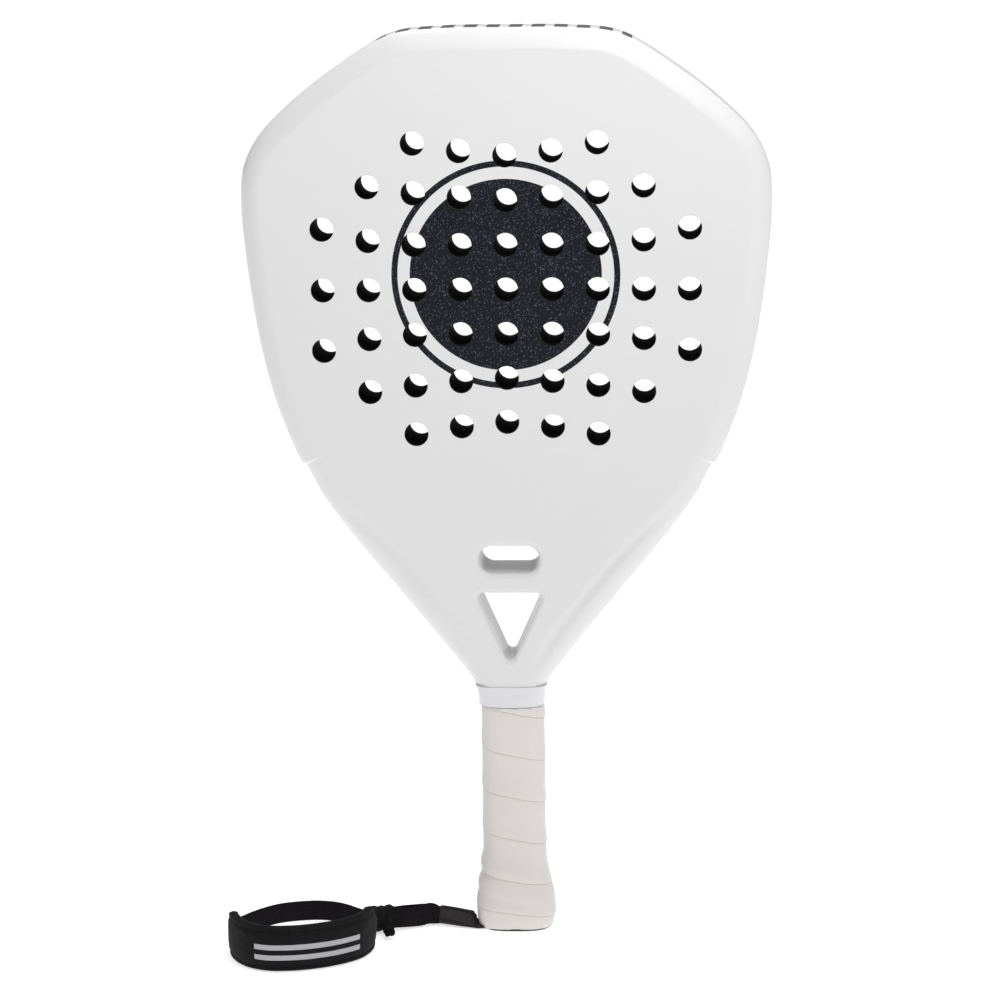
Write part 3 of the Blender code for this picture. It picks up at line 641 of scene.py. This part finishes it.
# ---------------------------------------------------------------- frame and head
def frame_stations():
    """(point, inward normal) from the left leg's end, over the crown, to the right leg's end."""
    half = smooth([Vector((x, 0.0, z)) for x, z in OUTLINE], OUTLINE_STEPS)
    dense = [half[0]]
    for p, q in zip(half, half[1:]):
        parts = 8 if abs((p.z + q.z) / 2 - BAND_END_Z) < 0.004 else 1
        dense += [p.lerp(q, (k + 1) / parts) for k in range(parts)]
    path = [Vector((-p.x, 0.0, p.z)) for p in reversed(dense[1:])] + dense
    normals = [Vector((0, 1, 0)).cross(t).normalized() for t in tangents(path)]
    return [(p + n * band_step(p.z), n) for p, n in zip(path, normals)]


def band_step(z):
    """How far the edge lies inside the outline near the end of the raised outer band."""
    raised = -BAND_RAISE * ramp((0.262 - z) / 0.018)
    lowered = (BAND_STEP - BAND_RAISE) * ramp((z - 0.222) / 0.014)
    share = ramp((BAND_END_Z + 0.0006 - z) / 0.0012)
    return raised * (1 - share) + lowered * share


def frame_section(z):
    """Front half of the tube's section as (distance inwards, depth), from the side inwards."""
    top, side, bevel = soft(HALF_DEPTH, z), soft(SIDE_FLAT, z), soft(BEVEL, z)
    crease = ramp(at_height(CREASE, z))
    points = [(0.0, 0.0), (0.0, side * 0.5), (0.0, side * 0.85)]
    steps = 14
    for k in range(steps + 1):
        turn = math.pi / 2 * k / steps
        n = 1 - math.cos(turn)
        round_edge = math.sin(turn) ** 1.15
        chamfer = (n + 0.015) ** 0.46 * (1.015 ** -0.46)
        rise = round_edge + (chamfer - round_edge) * crease
        points.append((bevel * n, side + (top - side) * (rise if k else 0.0)))
    lip = at_height(LIP, z)
    inner = soft(TUBE_WIDTH, z) + 0.001
    flat_steps = 6
    for k in range(1, flat_steps + 1):
        points.append((bevel + (inner - bevel) * k / flat_steps, top - lip))
    depth, place = soft(VALLEY_DEPTH, z), soft(VALLEY_PLACE, z)
    return [(n, y - depth * math.exp(-((n - place) / VALLEY_WIDTH) ** 2) * ramp(y / side - 0.6))
            for n, y in points]


def make_frame(stations, paint):
    """Tube of the head and arms; its depth follows the height of each point of the section."""
    rows = []
    for point, normal in stations:
        half = [(n, y * soft(HALF_DEPTH, (point + normal * n).z) / soft(HALF_DEPTH, point.z))
                for n, y in frame_section(point.z)]
        section = half + [(n, -y) for n, y in reversed(half[1:])]
        rows.append([point + normal * n + Vector((0, -y, 0)) for n, y in section])
    across = run_lengths([Vector(p) for p in rows[len(rows) // 2]] + [rows[len(rows) // 2][0]])
    along = run_lengths([p for p, n in stations])
    shell = add_piece("frame_shell", grid("frame_shell", rows, along, across), paint, "painted_shell")
    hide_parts("frame_tube")


def face_arc(x, drop=0.0):
    """Height of the faces' arched lower edge."""
    return FACE_ARC_Z - drop + FACE_ARC_RISE * x * x


def clipped(stations, distance, keep_above, drop=0.0):
    """Stations moved inwards by distance(z), cut off where they cross the faces' lower edge."""
    points = [p + n * distance(p.z) for p, n in stations]
    above = [q.z - face_arc(q.x, drop) for q in points]
    result = []
    for i, (q, height) in enumerate(zip(points, above)):
        if (height > 0) == keep_above:
            result.append((q.x, q.z))
        if i + 1 < len(points) and (height > 0) != (above[i + 1] > 0):
            cross = q.lerp(points[i + 1], height / (height - above[i + 1]))
            result.append((cross.x, face_arc(cross.x, drop)))
    return result


def arc_between(x_start, x_end, drop=0.0, parts=60):
    """Points of the faces' lower edge between two of its places."""
    step = (x_end - x_start) / parts
    return [(x_start + step * k, face_arc(x_start + step * k, drop)) for k in range(1, parts)]


def head_outline(stations, distance):
    """Outline of a plate inside the head, closed by the faces' lower edge."""
    top = clipped(stations, distance, keep_above=True)
    return top + arc_between(top[-1][0], top[0][0])


def hole_outlines():
    """The drilled holes, in columns that are mirrored up and down and side to side."""
    holes = []
    for column in range(-4, 5):
        heights = {row * sign for row in HOLE_ROWS[abs(column)] for sign in (1, -1)}
        for height in sorted(heights):
            holes.append(circle(column * HOLE_PITCH, HOLE_CENTRE_Z + height, HOLE_RADIUS, HOLE_SIDES))
    return holes


def make_head(stations, paint, edge, black_foam):
    """Drilled foam core and the two laminates, whose hole walls show the raw edge."""
    holes = hole_outlines()
    core = head_outline(stations, lambda z: soft(TUBE_WIDTH, z) + 0.0014)
    core_mesh = plate_mesh([core] + holes, FACE_PLANE - FACE_SHEET * 0.95, 0.0)
    core_piece = add_piece("drilled_core", core_mesh, black_foam, "core_foam")
    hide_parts("eva_core")

    sheet = head_outline(stations, lambda z: soft(BEVEL, z) + 0.00008)
    for name, node, side in (("front_laminate", "front_face", -1), ("rear_laminate", "rear_face", 1)):
        mesh = plate_mesh([sheet] + holes, FACE_SHEET / 2, 0.00018, 2)
        mesh.transform(Matrix.Translation((0, side * (FACE_PLANE - FACE_SHEET / 2), 0)))
        piece = add_piece(name, mesh, paint, "painted_shell", sharp=60)
        mesh.materials.append(edge)
        for polygon in mesh.polygons:
            polygon.material_index = int(abs(polygon.normal.y) < 0.3)
        flat_normals(piece)
        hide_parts(node)


def make_throat(stations, paint):
    """Moulded web between the arms; its edges tuck under the frame and the laminates."""
    sides = clipped(stations, lambda z: soft(TUBE_WIDTH, z) - THROAT_TUCK, False, THROAT_RISE)
    right = [(x, z) for x, z in sides if x > 0 and z > THROAT_LOW]
    left = [(-x, z) for x, z in reversed(right)]
    outline = left + arc_between(left[-1][0], right[0][0], THROAT_RISE) + right
    openings = [fillet(WINDOW, WINDOW_FILLET), fillet(VENT, VENT_FILLET)]
    mesh = plate_mesh([outline] + openings, FACE_PLANE, THROAT_EDGE, 6)
    bm = bmesh.new()
    bm.from_mesh(mesh)
    for k in range(64):
        bmesh.ops.bisect_plane(bm, geom=bm.verts[:] + bm.edges[:] + bm.faces[:],
                               plane_co=(0, 0, THROAT_LOW + 0.002 * k), plane_no=(0, 0, 1),
                               dist=0.00001)
    for vertex in bm.verts:
        sunk = FACE_PLANE - soft(HALF_DEPTH, vertex.co.z) + 0.00001
        vertex.co.y -= math.copysign(min(sunk, abs(vertex.co.y)), vertex.co.y)
    bm.to_mesh(mesh)
    bm.free()
    web = add_piece("throat_web", mesh, paint, "painted_shell", sharp=60)
    flat_normals(web)
    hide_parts("throat_bridge")


# ---------------------------------------------------------------- handle
def handle_profile(rows, steps=8):
    """Smoothed rows of (z, half width, half depth and so on)."""
    return [tuple(p) for p in smooth([Vector(r) for r in rows], steps)]


def unit_section(sides, power=HANDLE_POWER):
    """Directions of a rounded square, evenly spaced along it, from the middle of the front."""
    fine = []
    count = 720
    for k in range(count + 1):
        angle = -math.pi / 2 + 2 * math.pi * k / count
        c, s = math.cos(angle), math.sin(angle)
        scale = (abs(c) ** power + abs(s) ** power) ** (-1 / power)
        fine.append(Vector((c * scale, s * scale)))
    run = run_lengths(fine)
    result = []
    i = 0
    for k in range(sides):
        target = run[-1] * k / sides
        while run[i + 1] < target:
            i += 1
        result.append(fine[i].lerp(fine[i + 1], (target - run[i]) / (run[i + 1] - run[i])))
    return result


def wrap_height(turns):
    """Height at the middle of the front after this many turns of the wrap."""
    low = (WRAP_LOW_Z - WRAP_SEAM_Z) / WRAP_PITCH
    if turns > low:
        return WRAP_SEAM_Z + turns * WRAP_PITCH
    return WRAP_LOW_Z + (turns - low) * WRAP_LOW_PITCH


def make_grip(skin):
    """One tape wound up the handle, each turn's lower edge lapping over the turn below."""
    sides = 144
    section = unit_section(sides)
    profile = handle_profile(GRIP_ROWS)
    index_at = [(p[0], i) for i, p in enumerate(profile)]
    bm = bmesh.new()
    shade = bm.verts.layers.float.new("lap")
    table = []
    first, last = WRAP_TURNS
    for step in range((last - first) * sides + 1):
        direction = section[step % sides]
        row = []
        for share, lap, dark in WRAP_STRIP:
            z = wrap_height(share - first - step / sides)
            index = at_height(index_at, z)
            i = min(int(index), len(profile) - 2)
            a, b, middle = (p + (q - p) * (index - i) for p, q in zip(profile[i][1:], profile[i + 1][1:]))
            wobble = 0.00008 * noise.noise(Vector((direction.x * 2.2, direction.y * 2.2, z * 90)))
            out = WRAP_LAP * lap + bulge(direction, z) + wobble - 0.0002
            vertex = bm.verts.new((middle + direction.x * (a + out), direction.y * (b + out), z))
            # painted shade in the seam, kept on the vertex for the grip's colour
            vertex[shade] = dark
            row.append(vertex)
        table.append(row)
    for step in range(len(table) - 1):
        here, ahead = table[step], table[step + 1]
        for j in range(len(WRAP_STRIP) - 1):
            bm.faces.new((here[j], ahead[j], ahead[j + 1], here[j + 1]))
        if step >= sides:
            bm.faces.new((here[-1], ahead[-1], table[step + 1 - sides][0], table[step - sides][0]))
    for z, normal in ((GRIP_EDGE, (0, 0, -1)), (GRIP_TOP, (0, 0, 1))):
        bmesh.ops.bisect_plane(bm, geom=bm.verts[:] + bm.edges[:] + bm.faces[:], plane_co=(0, 0, z),
                               plane_no=normal, clear_outer=True, dist=0.00001)
    bmesh.ops.recalc_face_normals(bm, faces=bm.faces)
    grip = add_piece("spiral_grip", finished(bm, "spiral_grip"), skin, "grip", sharp=70)
    shell = grip.modifiers.new("thickness", "SOLIDIFY")
    shell.thickness = 0.0009
    shell.offset = -1
    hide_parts("grip_wrap")


def bulge(direction, z):
    """Soft ridges over the flare, where the tape starts, strongest on the left."""
    left = ramp(0.5 - 0.75 * direction.x)
    fall = 0.0035 * direction.x
    total = 0.0
    for centre, width, height in BULGES:
        total += height * math.exp(-((z - centre + fall) / width) ** 2)
    return total * (0.25 + 0.75 * left)


def make_tape(film):
    """Finishing tape: one turn and a bit, its end lapping over near the middle of the front."""
    sides = 180
    soft_corners, square_corners = unit_section(sides), unit_section(sides, TAPE_POWER)
    lap_start = -0.0046 / 0.108
    profile = handle_profile(TAPE_ROWS, 5)
    outside, inside = [], []
    for z, a, b in profile:
        square = ramp((z - profile[0][0]) / (profile[-1][0] - profile[0][0]))
        section = [p.lerp(q, square) for p, q in zip(soft_corners, square_corners)]
        outer, inner = [], []
        for k in range(sides):
            turn = (k / sides - lap_start) % 1.0
            out = 0.00016 * (1 - ramp(turn / 0.16)) * ramp(turn / 0.004)
            out += 0.00005 * noise.noise(Vector((section[k].x * 3, section[k].y * 3, z * 260)))
            outer.append(Vector((section[k].x * (a + out), section[k].y * (b + out), z)))
            wall = 0.0004 + (TAPE_REACH - 0.0004) * ramp((z - TAPE_ROWS[1][0]) / 0.004)
            inner.append(Vector((section[k].x * (a - wall), section[k].y * (b - wall), z)))
        outside.append(outer)
        inside.append(inner)
    rows = outside + inside[::-1]
    along = run_lengths([row[0] for row in rows] + [rows[0][0]])
    across = run_lengths(rows[0] + [rows[0][0]])
    tape = add_piece("end_tape", grid("end_tape", rows, along, across, ring=True), film, "tape")
    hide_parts("finishing_tape")


def make_cap(plastic):
    """Butt cap under the grip: the CAD shape, a little narrower and to the right like the grip."""
    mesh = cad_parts["butt_cap"].data.copy()
    share = CAP_HALF_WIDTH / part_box("butt_cap")[1].x
    for vertex in mesh.vertices:
        vertex.co.x = vertex.co.x * share + GRIP_ROWS[0][3]
    cap = add_piece("butt_moulding", mesh, plastic, "cap_plastic")
    rim = cap.modifiers.new("rim", "BEVEL")
    rim.width = 0.00025
    rim.segments = 2
    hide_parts("butt_cap")


def paint_inner_nodes(cap, skin, filler):
    """Materials of the CAD nodes whose shapes stay."""
    for name, material in (("strap_anchor_bar", cap), ("strap_root", skin), ("handle_core", filler)):
        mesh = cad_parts[name].data
        mesh.materials.clear()
        mesh.materials.append(material)


# ---------------------------------------------------------------- strap
def strip_frame(tangent, tilt):
    """Thickness and width directions of a flat strip, tilt degrees up from lying flat."""
    level = Vector((tangent.y, -tangent.x, 0)).normalized()
    angle = math.radians(tilt)
    up = Vector((0, 0, 1))
    return level * math.sin(angle) - up * math.cos(angle), level * math.cos(angle) + up * math.sin(angle)


def rounded_strip(width, thickness, ribs=0, rib_height=0.0, across=22, corner=5):
    """Section of a flat strip as (through, across), with round edges and lengthwise ribs."""
    half, radius = width / 2, thickness / 2
    face = []
    for k in range(across + 1):
        v = -(half - radius) + 2 * (half - radius) * k / across
        lift = rib_height * abs(math.sin(math.pi * ribs * (v + half) / width)) if ribs else 0.0
        face.append((radius - rib_height + lift, v))
    end = []
    for k in range(1, corner):
        angle = math.pi * k / corner
        end.append(((radius - rib_height) * math.cos(angle), half - radius + radius * math.sin(angle)))
    back = [(-u, v) for u, v in reversed(face)]
    other = [(-u, -v) for u, v in end]
    return face + end + back + other


def sweep(name, path, directions, tilts, sections):
    """Strip swept along path; sections holds one section for each point."""
    rows = []
    for p, t, tilt, section in zip(path, directions, tilts, sections):
        through, across = strip_frame(t, tilt)
        rows.append([p + through * u + across * v for u, v in section])
    section = sections[len(sections) // 2]
    flat = [Vector(s) for s in section] + [Vector(section[0])]
    return grid(name, rows, run_lengths(path), run_lengths(flat))


def band_path(steps=8):
    """(points, directions, run) of the wrist band's middle; its far half droops to the floor."""
    middle = BAND_HEIGHT / 2
    points = smooth([Vector((x, y, middle)) for x, y in BAND], steps)
    run = run_lengths(points)
    for point, distance in zip(points, run):
        if distance > run[-1] / 2:
            point.z = middle * band_scale(distance, run[-1])
    return points, tangents(points), run


def band_scale(distance, total):
    """Share of its full height that the wrist band has, less towards both ends."""
    end = BAND_END_HEIGHT / BAND_HEIGHT
    return end + (1 - end) * ramp(min(distance, total - distance) / BAND_TAPER)


def cord_route():
    """(path, tilts): tab, keeper, wrist band, back through the keeper, tab."""
    along = tangents([Vector(p) for p, tilt, gap in NECK])
    layers = [[Vector(p) + strip_frame(t, tilt)[0] * (side * gap)
               for t, (p, tilt, gap) in zip(along, NECK)] for side in (-1, 1)]
    outward, inward = sorted(layers, key=lambda layer: layer[-1].y)
    points, directions = band_path(2)[:2]
    in_band = [p + strip_frame(t, 90)[0] * -BAND_CORD_OFFSET for p, t in zip(points, directions)]
    route = (outward + [Vector(p) for p in CORD_FRONT] + in_band[::2]
             + [Vector(p) for p in CORD_BACK] + inward[::-1])
    tilts = ([tilt for p, tilt, gap in NECK] + [90] * (len(route) - 2 * len(NECK))
             + [180 - tilt for p, tilt, gap in reversed(NECK)])
    fine = smooth([Vector((*p, tilt / 1000)) for p, tilt in zip(route, tilts)], 8)
    return [Vector(q[:3]) for q in fine], [q[3] * 1000 for q in fine]


def make_cord(yarn):
    """Flat braid that runs from the tab round the wrist and back; returns it and its path."""
    path, tilts = cord_route()
    directions = tangents(path)
    directions[0] = SEAM_DIRECTION
    directions[-1] = -SEAM_DIRECTION
    section = rounded_strip(CORD_WIDTH, CORD_THICKNESS, CORD_RIBS, rib_height=0.00016, across=42)
    mesh = sweep("strap_braid", path, directions, tilts, [section] * len(path))
    cord = add_piece("strap_braid", mesh, yarn, "webbing", "strap", sharp=60)
    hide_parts("strap_cord")
    return cord, path


def make_tab(skin, sewing):
    """Folded leatherette tab that bends where it comes out from under the butt."""
    fine = smooth([Vector((*p, tilt / 1000, thickness)) for p, tilt, thickness in TAB], 8)
    path = [Vector(q[:3]) for q in fine]
    directions = tangents(path)
    directions[0] = SEAM_DIRECTION
    directions[-1] = SEAM_DIRECTION
    tilts = [q[3] * 1000 for q in fine]
    sections = []
    for q in fine:
        flat = rounded_strip(TAB_WIDTH, q[4], across=30)
        groove = [0.22 * q[4] * math.exp(-((v - TAB_STITCH_ACROSS) / 0.0006) ** 2) for _, v in flat]
        sections.append([(u - math.copysign(dip, u), v) for (u, v), dip in zip(flat, groove)])
    tab = add_piece("folded_tab", sweep("folded_tab", path, directions, tilts, sections), skin,
                    "leatherette", None, sharp=60)
    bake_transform(tab)
    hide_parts("strap_tab")

    run = run_lengths(path)
    places = []
    for i, point in spaced(path, run, 0.0085, run[-1] - 0.0015, TAB_STITCH_PITCH):
        through, across = strip_frame(directions[i], tilts[i])
        depth = fine[i][4] / 2 - 0.00026 * fine[i][4] / 0.0036
        for side in (-1, 1):
            centre = point + through * side * depth + across * TAB_STITCH_ACROSS
            places.append((centre, directions[i], through * side))
    make_stitches("tab_stitching", places, 0.0014, 0.00020, sewing, "leatherette")


def make_stitches(name, places, length, radius, material, slot):
    """Short thread capsules at (centre, direction, outward) places, joined into one piece."""
    bm = bmesh.new()
    for centre, along, outward in places:
        side = along.cross(outward).normalized()
        made = bmesh.ops.create_uvsphere(bm, u_segments=8, v_segments=6, radius=1.0)
        axes = Matrix((side * radius, outward.normalized() * radius, along * (length / 2)))
        place = Matrix.Translation(centre) @ axes.transposed().to_4x4()
        bmesh.ops.transform(bm, matrix=place, verts=made["verts"])
    return add_piece(name, finished(bm, name), material, slot, "strap", sharp=80)


def band_section(kind, scale, distance):
    """Section of one layer of the wrist band as (through, across); through is inwards."""
    half = BAND_HEIGHT / 2 * scale
    points = []
    if kind == "cover":
        count = 36
        for k in range(count + 1):
            v = -1 + 2 * k / count
            edge = half - abs(v) * half
            crown = 0.0025 + 0.0008 * (1 - abs(v) ** 2.5)
            pinch = 0.00075 * math.exp(-((edge - STITCH_INSET) / 0.0010) ** 2)
            crease = 0.00022 * noise.noise(Vector((distance * 210, v * 3.2, 0.3)))
            lift = (crown - pinch + crease) * min(1.0, math.sqrt(max(edge, 0.0) / 0.0011) * 0.75 + 0.25)
            points.append((-lift, v * half))
        inner = [(0.0018 - 0.0009 * math.exp(-((half - abs(v) - STITCH_INSET) / 0.0009) ** 2), v)
                 for _, v in reversed(points[1:-1])]
        return points + [(0.0014, half - 0.0004)] + inner + [(0.0014, -half + 0.0004)]
    reach = half - (0.0030 if kind == "lining" else 0.0035)
    front, back = (0.0016, 0.0027) if kind == "lining" else (-0.0017, 0.0014)
    count = 14
    for k in range(count + 1):
        v = -1 + 2 * k / count
        points.append((front, v * reach))
    for k in range(count + 1):
        v = 1 - 2 * k / count
        crown = (back - front) * (1 - abs(v) ** 6 * 0.8)
        points.append((front + crown, v * reach * 0.995))
    return points


def make_band(cloth, lining_cloth, sponge, sewing):
    """Padded wrist band: cover, pad and lining, sewn round its edge; returns its pieces."""
    points, directions, run = band_path()
    total = run[-1]
    scales = [band_scale(s, total) for s in run]
    made = []
    for name, kind, node, material, slot in (
            ("band_cover", "cover", "wristband_cover", cloth, "band_fabric"),
            ("band_lining", "lining", "wristband_lining", lining_cloth, "band_fabric"),
            ("band_pad", "pad", "wristband_pad", sponge, "band_foam")):
        sections = [band_section(kind, scale, s) for scale, s in zip(scales, run)]
        mesh = sweep(name, points, directions, [90] * len(points), sections)
        piece = add_piece(name, mesh, material, slot, "strap", sharp=65)
        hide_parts(node)
        made.append(piece)

    places = []
    for i, point in spaced(points, run, 0.003, total - 0.003, STITCH_PITCH):
        through, across = strip_frame(directions[i], 90)
        half = BAND_HEIGHT / 2 * scales[i]
        for side in (-1, 1):
            v = side * (half - STITCH_INSET)
            places.append((point - through * STITCH_DEPTH + across * v, directions[i], -through))
    made.append(make_stitches("band_stitching", places, 0.0019, 0.00022, sewing, "band_fabric"))
    return made


def keeper_ring(s, wall, gathered):
    """One ring of the keeper at s from -1 to 1 along it, wall inside its outer surface."""
    level = Vector((-KEEPER_AXIS.y, KEEPER_AXIS.x, 0)).normalized()
    up = KEEPER_AXIS.cross(level).normalized()
    length, height, thickness = KEEPER_SIZE
    waist = 1 - 0.10 * (1 - s * s) if gathered else 1.0
    sides = 44
    ring = []
    for k in range(sides):
        angle = 2 * math.pi * k / sides
        c, d = math.cos(angle), math.sin(angle)
        scale = (abs(c) ** 4 + abs(d) ** 4) ** (-1 / 4)
        fold = 0.0
        if gathered:
            fold = 0.00035 * noise.noise(Vector((c * 2.6, d * 2.6, s * 1.3)))
            fold += 0.00018 * math.sin(s * 9 + 2 * c)
        a = (thickness / 2 - wall) * waist + fold
        b = (height / 2 - wall) * waist + fold
        centre = KEEPER_CENTRE + KEEPER_AXIS * (length / 2 * s * (1 - 0.06 * d * d))
        ring.append(centre + level * (a * c * scale) + up * (b * d * scale))
    return ring


def make_keeper(cloth):
    """Gathered fabric sleeve round both cord layers."""
    steps = 22
    shares = [-1 + 2 * r / steps for r in range(steps + 1)]
    rows = [keeper_ring(s, 0.0, True) for s in shares]
    rows += [keeper_ring(s, KEEPER_WALL, False) for s in reversed(shares)]
    along = run_lengths([row[0] for row in rows] + [rows[0][0]])
    across = run_lengths(rows[0] + [rows[0][0]])
    sleeve = add_piece("keeper_loop", grid("keeper_loop", rows, along, across, ring=True), cloth,
                       "band_fabric", "keeper", sharp=70)
    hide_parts("keeper_sleeve")
    return sleeve


def trefoil(t):
    """Point of a trefoil knot about the origin, t from 0 to 2 pi."""
    x = math.sin(t) + 2 * math.sin(2 * t)
    y = math.cos(t) - 2 * math.cos(2 * t)
    return Vector((x, y, -math.sin(3 * t))) * KNOT_SIZE


def make_knot(yarn):
    """Pull of the keeper: a short lead into a knot."""
    curve = bpy.data.curves.new("pull_knot", "CURVE")
    curve.dimensions = "3D"
    curve.bevel_depth = KNOT_CORD_RADIUS
    curve.bevel_resolution = 4
    curve.use_fill_caps = True
    spline = curve.splines.new("POLY")
    knot = [trefoil(2 * math.pi * k / 72) for k in range(73)]
    lead = KEEPER_CENTRE + KNOT_LEAD - KNOT_CENTRE
    route = [lead.lerp(knot[0], k / 8) for k in range(8)] + knot
    spline.points.add(len(route) - 1)
    for point, p in zip(spline.points, route):
        point.co = (*(KNOT_CENTRE + p), 1.0)
    piece = add_piece("pull_knot", curve_mesh(curve), yarn, "webbing", "keeper", sharp=60)
    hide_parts("keeper_knot")
    return piece


# ---------------------------------------------------------------- stage
def make_camera():
    """Camera at the viewing place: about 11 degrees above level and 3 to the right."""
    tilt, roll, turn = (math.radians(a) for a in CAMERA_TURN)
    data = bpy.data.cameras.new("camera")
    data.sensor_width = 36.0
    data.lens = CAMERA_LENS
    camera = bpy.data.objects.new("camera", data)
    bpy.context.scene.collection.objects.link(camera)
    matrix = Matrix.Rotation(turn, 4, "Z") @ Matrix.Rotation(tilt, 4, "X") @ Matrix.Rotation(roll, 4, "Z")
    camera.matrix_world = Matrix.Translation(CAMERA_PLACE) @ matrix
    bpy.context.scene.camera = camera


def make_stage():
    """Pale paper floor, a sky that is brighter overhead, and two soft lamps."""
    mesh = bpy.data.meshes.new("floor")
    corners = ((-1, -1), (1, -1), (1, 1), (-1, 1))
    mesh.from_pydata([(x * FLOOR_REACH, y * FLOOR_REACH, 0) for x, y in corners], [], [(0, 1, 2, 3)])
    floor = bpy.data.objects.new("floor", mesh)
    floor.location.z = -0.0001
    bpy.context.scene.collection.objects.link(floor)
    paper = Graph("floor_paper", (0.80, 0.80, 0.80), 0.9, Emission_Color=(1, 1, 1, 1),
                  Emission_Strength=0.64)
    mesh.materials.append(paper.material)

    world = bpy.data.worlds.new("studio")
    bpy.context.scene.world = world
    world.use_nodes = True
    tree = world.node_tree
    background = tree.nodes["Background"]
    background.inputs["Color"].default_value = (1.0, 1.0, 1.0, 1.0)
    direction = tree.nodes.new("ShaderNodeSeparateXYZ")
    tree.links.new(tree.nodes.new("ShaderNodeTexCoord").outputs["Generated"], direction.inputs[0])
    sky = tree.nodes.new("ShaderNodeMapRange")
    sky.inputs["To Min"].default_value, sky.inputs["To Max"].default_value = SKY
    tree.links.new(direction.outputs["Z"], sky.inputs["Value"])
    tree.links.new(sky.outputs["Result"], background.inputs["Strength"])
    for name, place, size, power in LAMPS:
        data = bpy.data.lights.new(name, "AREA")
        data.size = size
        data.energy = power
        lamp = bpy.data.objects.new(name, data)
        lamp.location = place
        lamp.rotation_euler = (LAMP_AIM - Vector(place)).to_track_quat("-Z", "Y").to_euler()
        bpy.context.scene.collection.objects.link(lamp)
    bpy.context.scene.view_settings.view_transform = "Standard"


def main():
    make_camera()
    yarn = braid()
    cord, path = make_cord(yarn)
    skin = leatherette()
    sewing = thread()
    make_tab(skin, sewing)
    black_cloth = woven("keeper_cloth", (0.0045, 0.0045, 0.005), (0.013, 0.013, 0.014))
    band_cloth = woven("band_cloth", (0.006, 0.006, 0.007), (0.014, 0.014, 0.0155), bars=True)
    band = make_band(band_cloth, black_cloth, foam("band_sponge", (0.02, 0.02, 0.021), (0.05, 0.05, 0.052)),
                     sewing)
    keeper = [make_keeper(black_cloth), make_knot(yarn)]
    length = run_lengths(path)[-1]
    tuple(path[0])
    [tuple(p) for p in path]

    stations = frame_stations()
    shell = shell_paint()
    make_frame(stations, shell)
    make_head(stations, face_paint(), drilled_edge(),
              foam("eva_foam", (0.004, 0.004, 0.0045), (0.014, 0.014, 0.015)))
    make_throat(stations, white_paint("throat_paint").material)
    make_grip(grip_skin())
    make_tape(tape_film())
    plastic = cap_plastic()
    make_cap(plastic)
    paint_inner_nodes(plastic, skin, foam("filler_foam", (0.48, 0.43, 0.32), (0.60, 0.55, 0.43)))
    make_stage()


main()
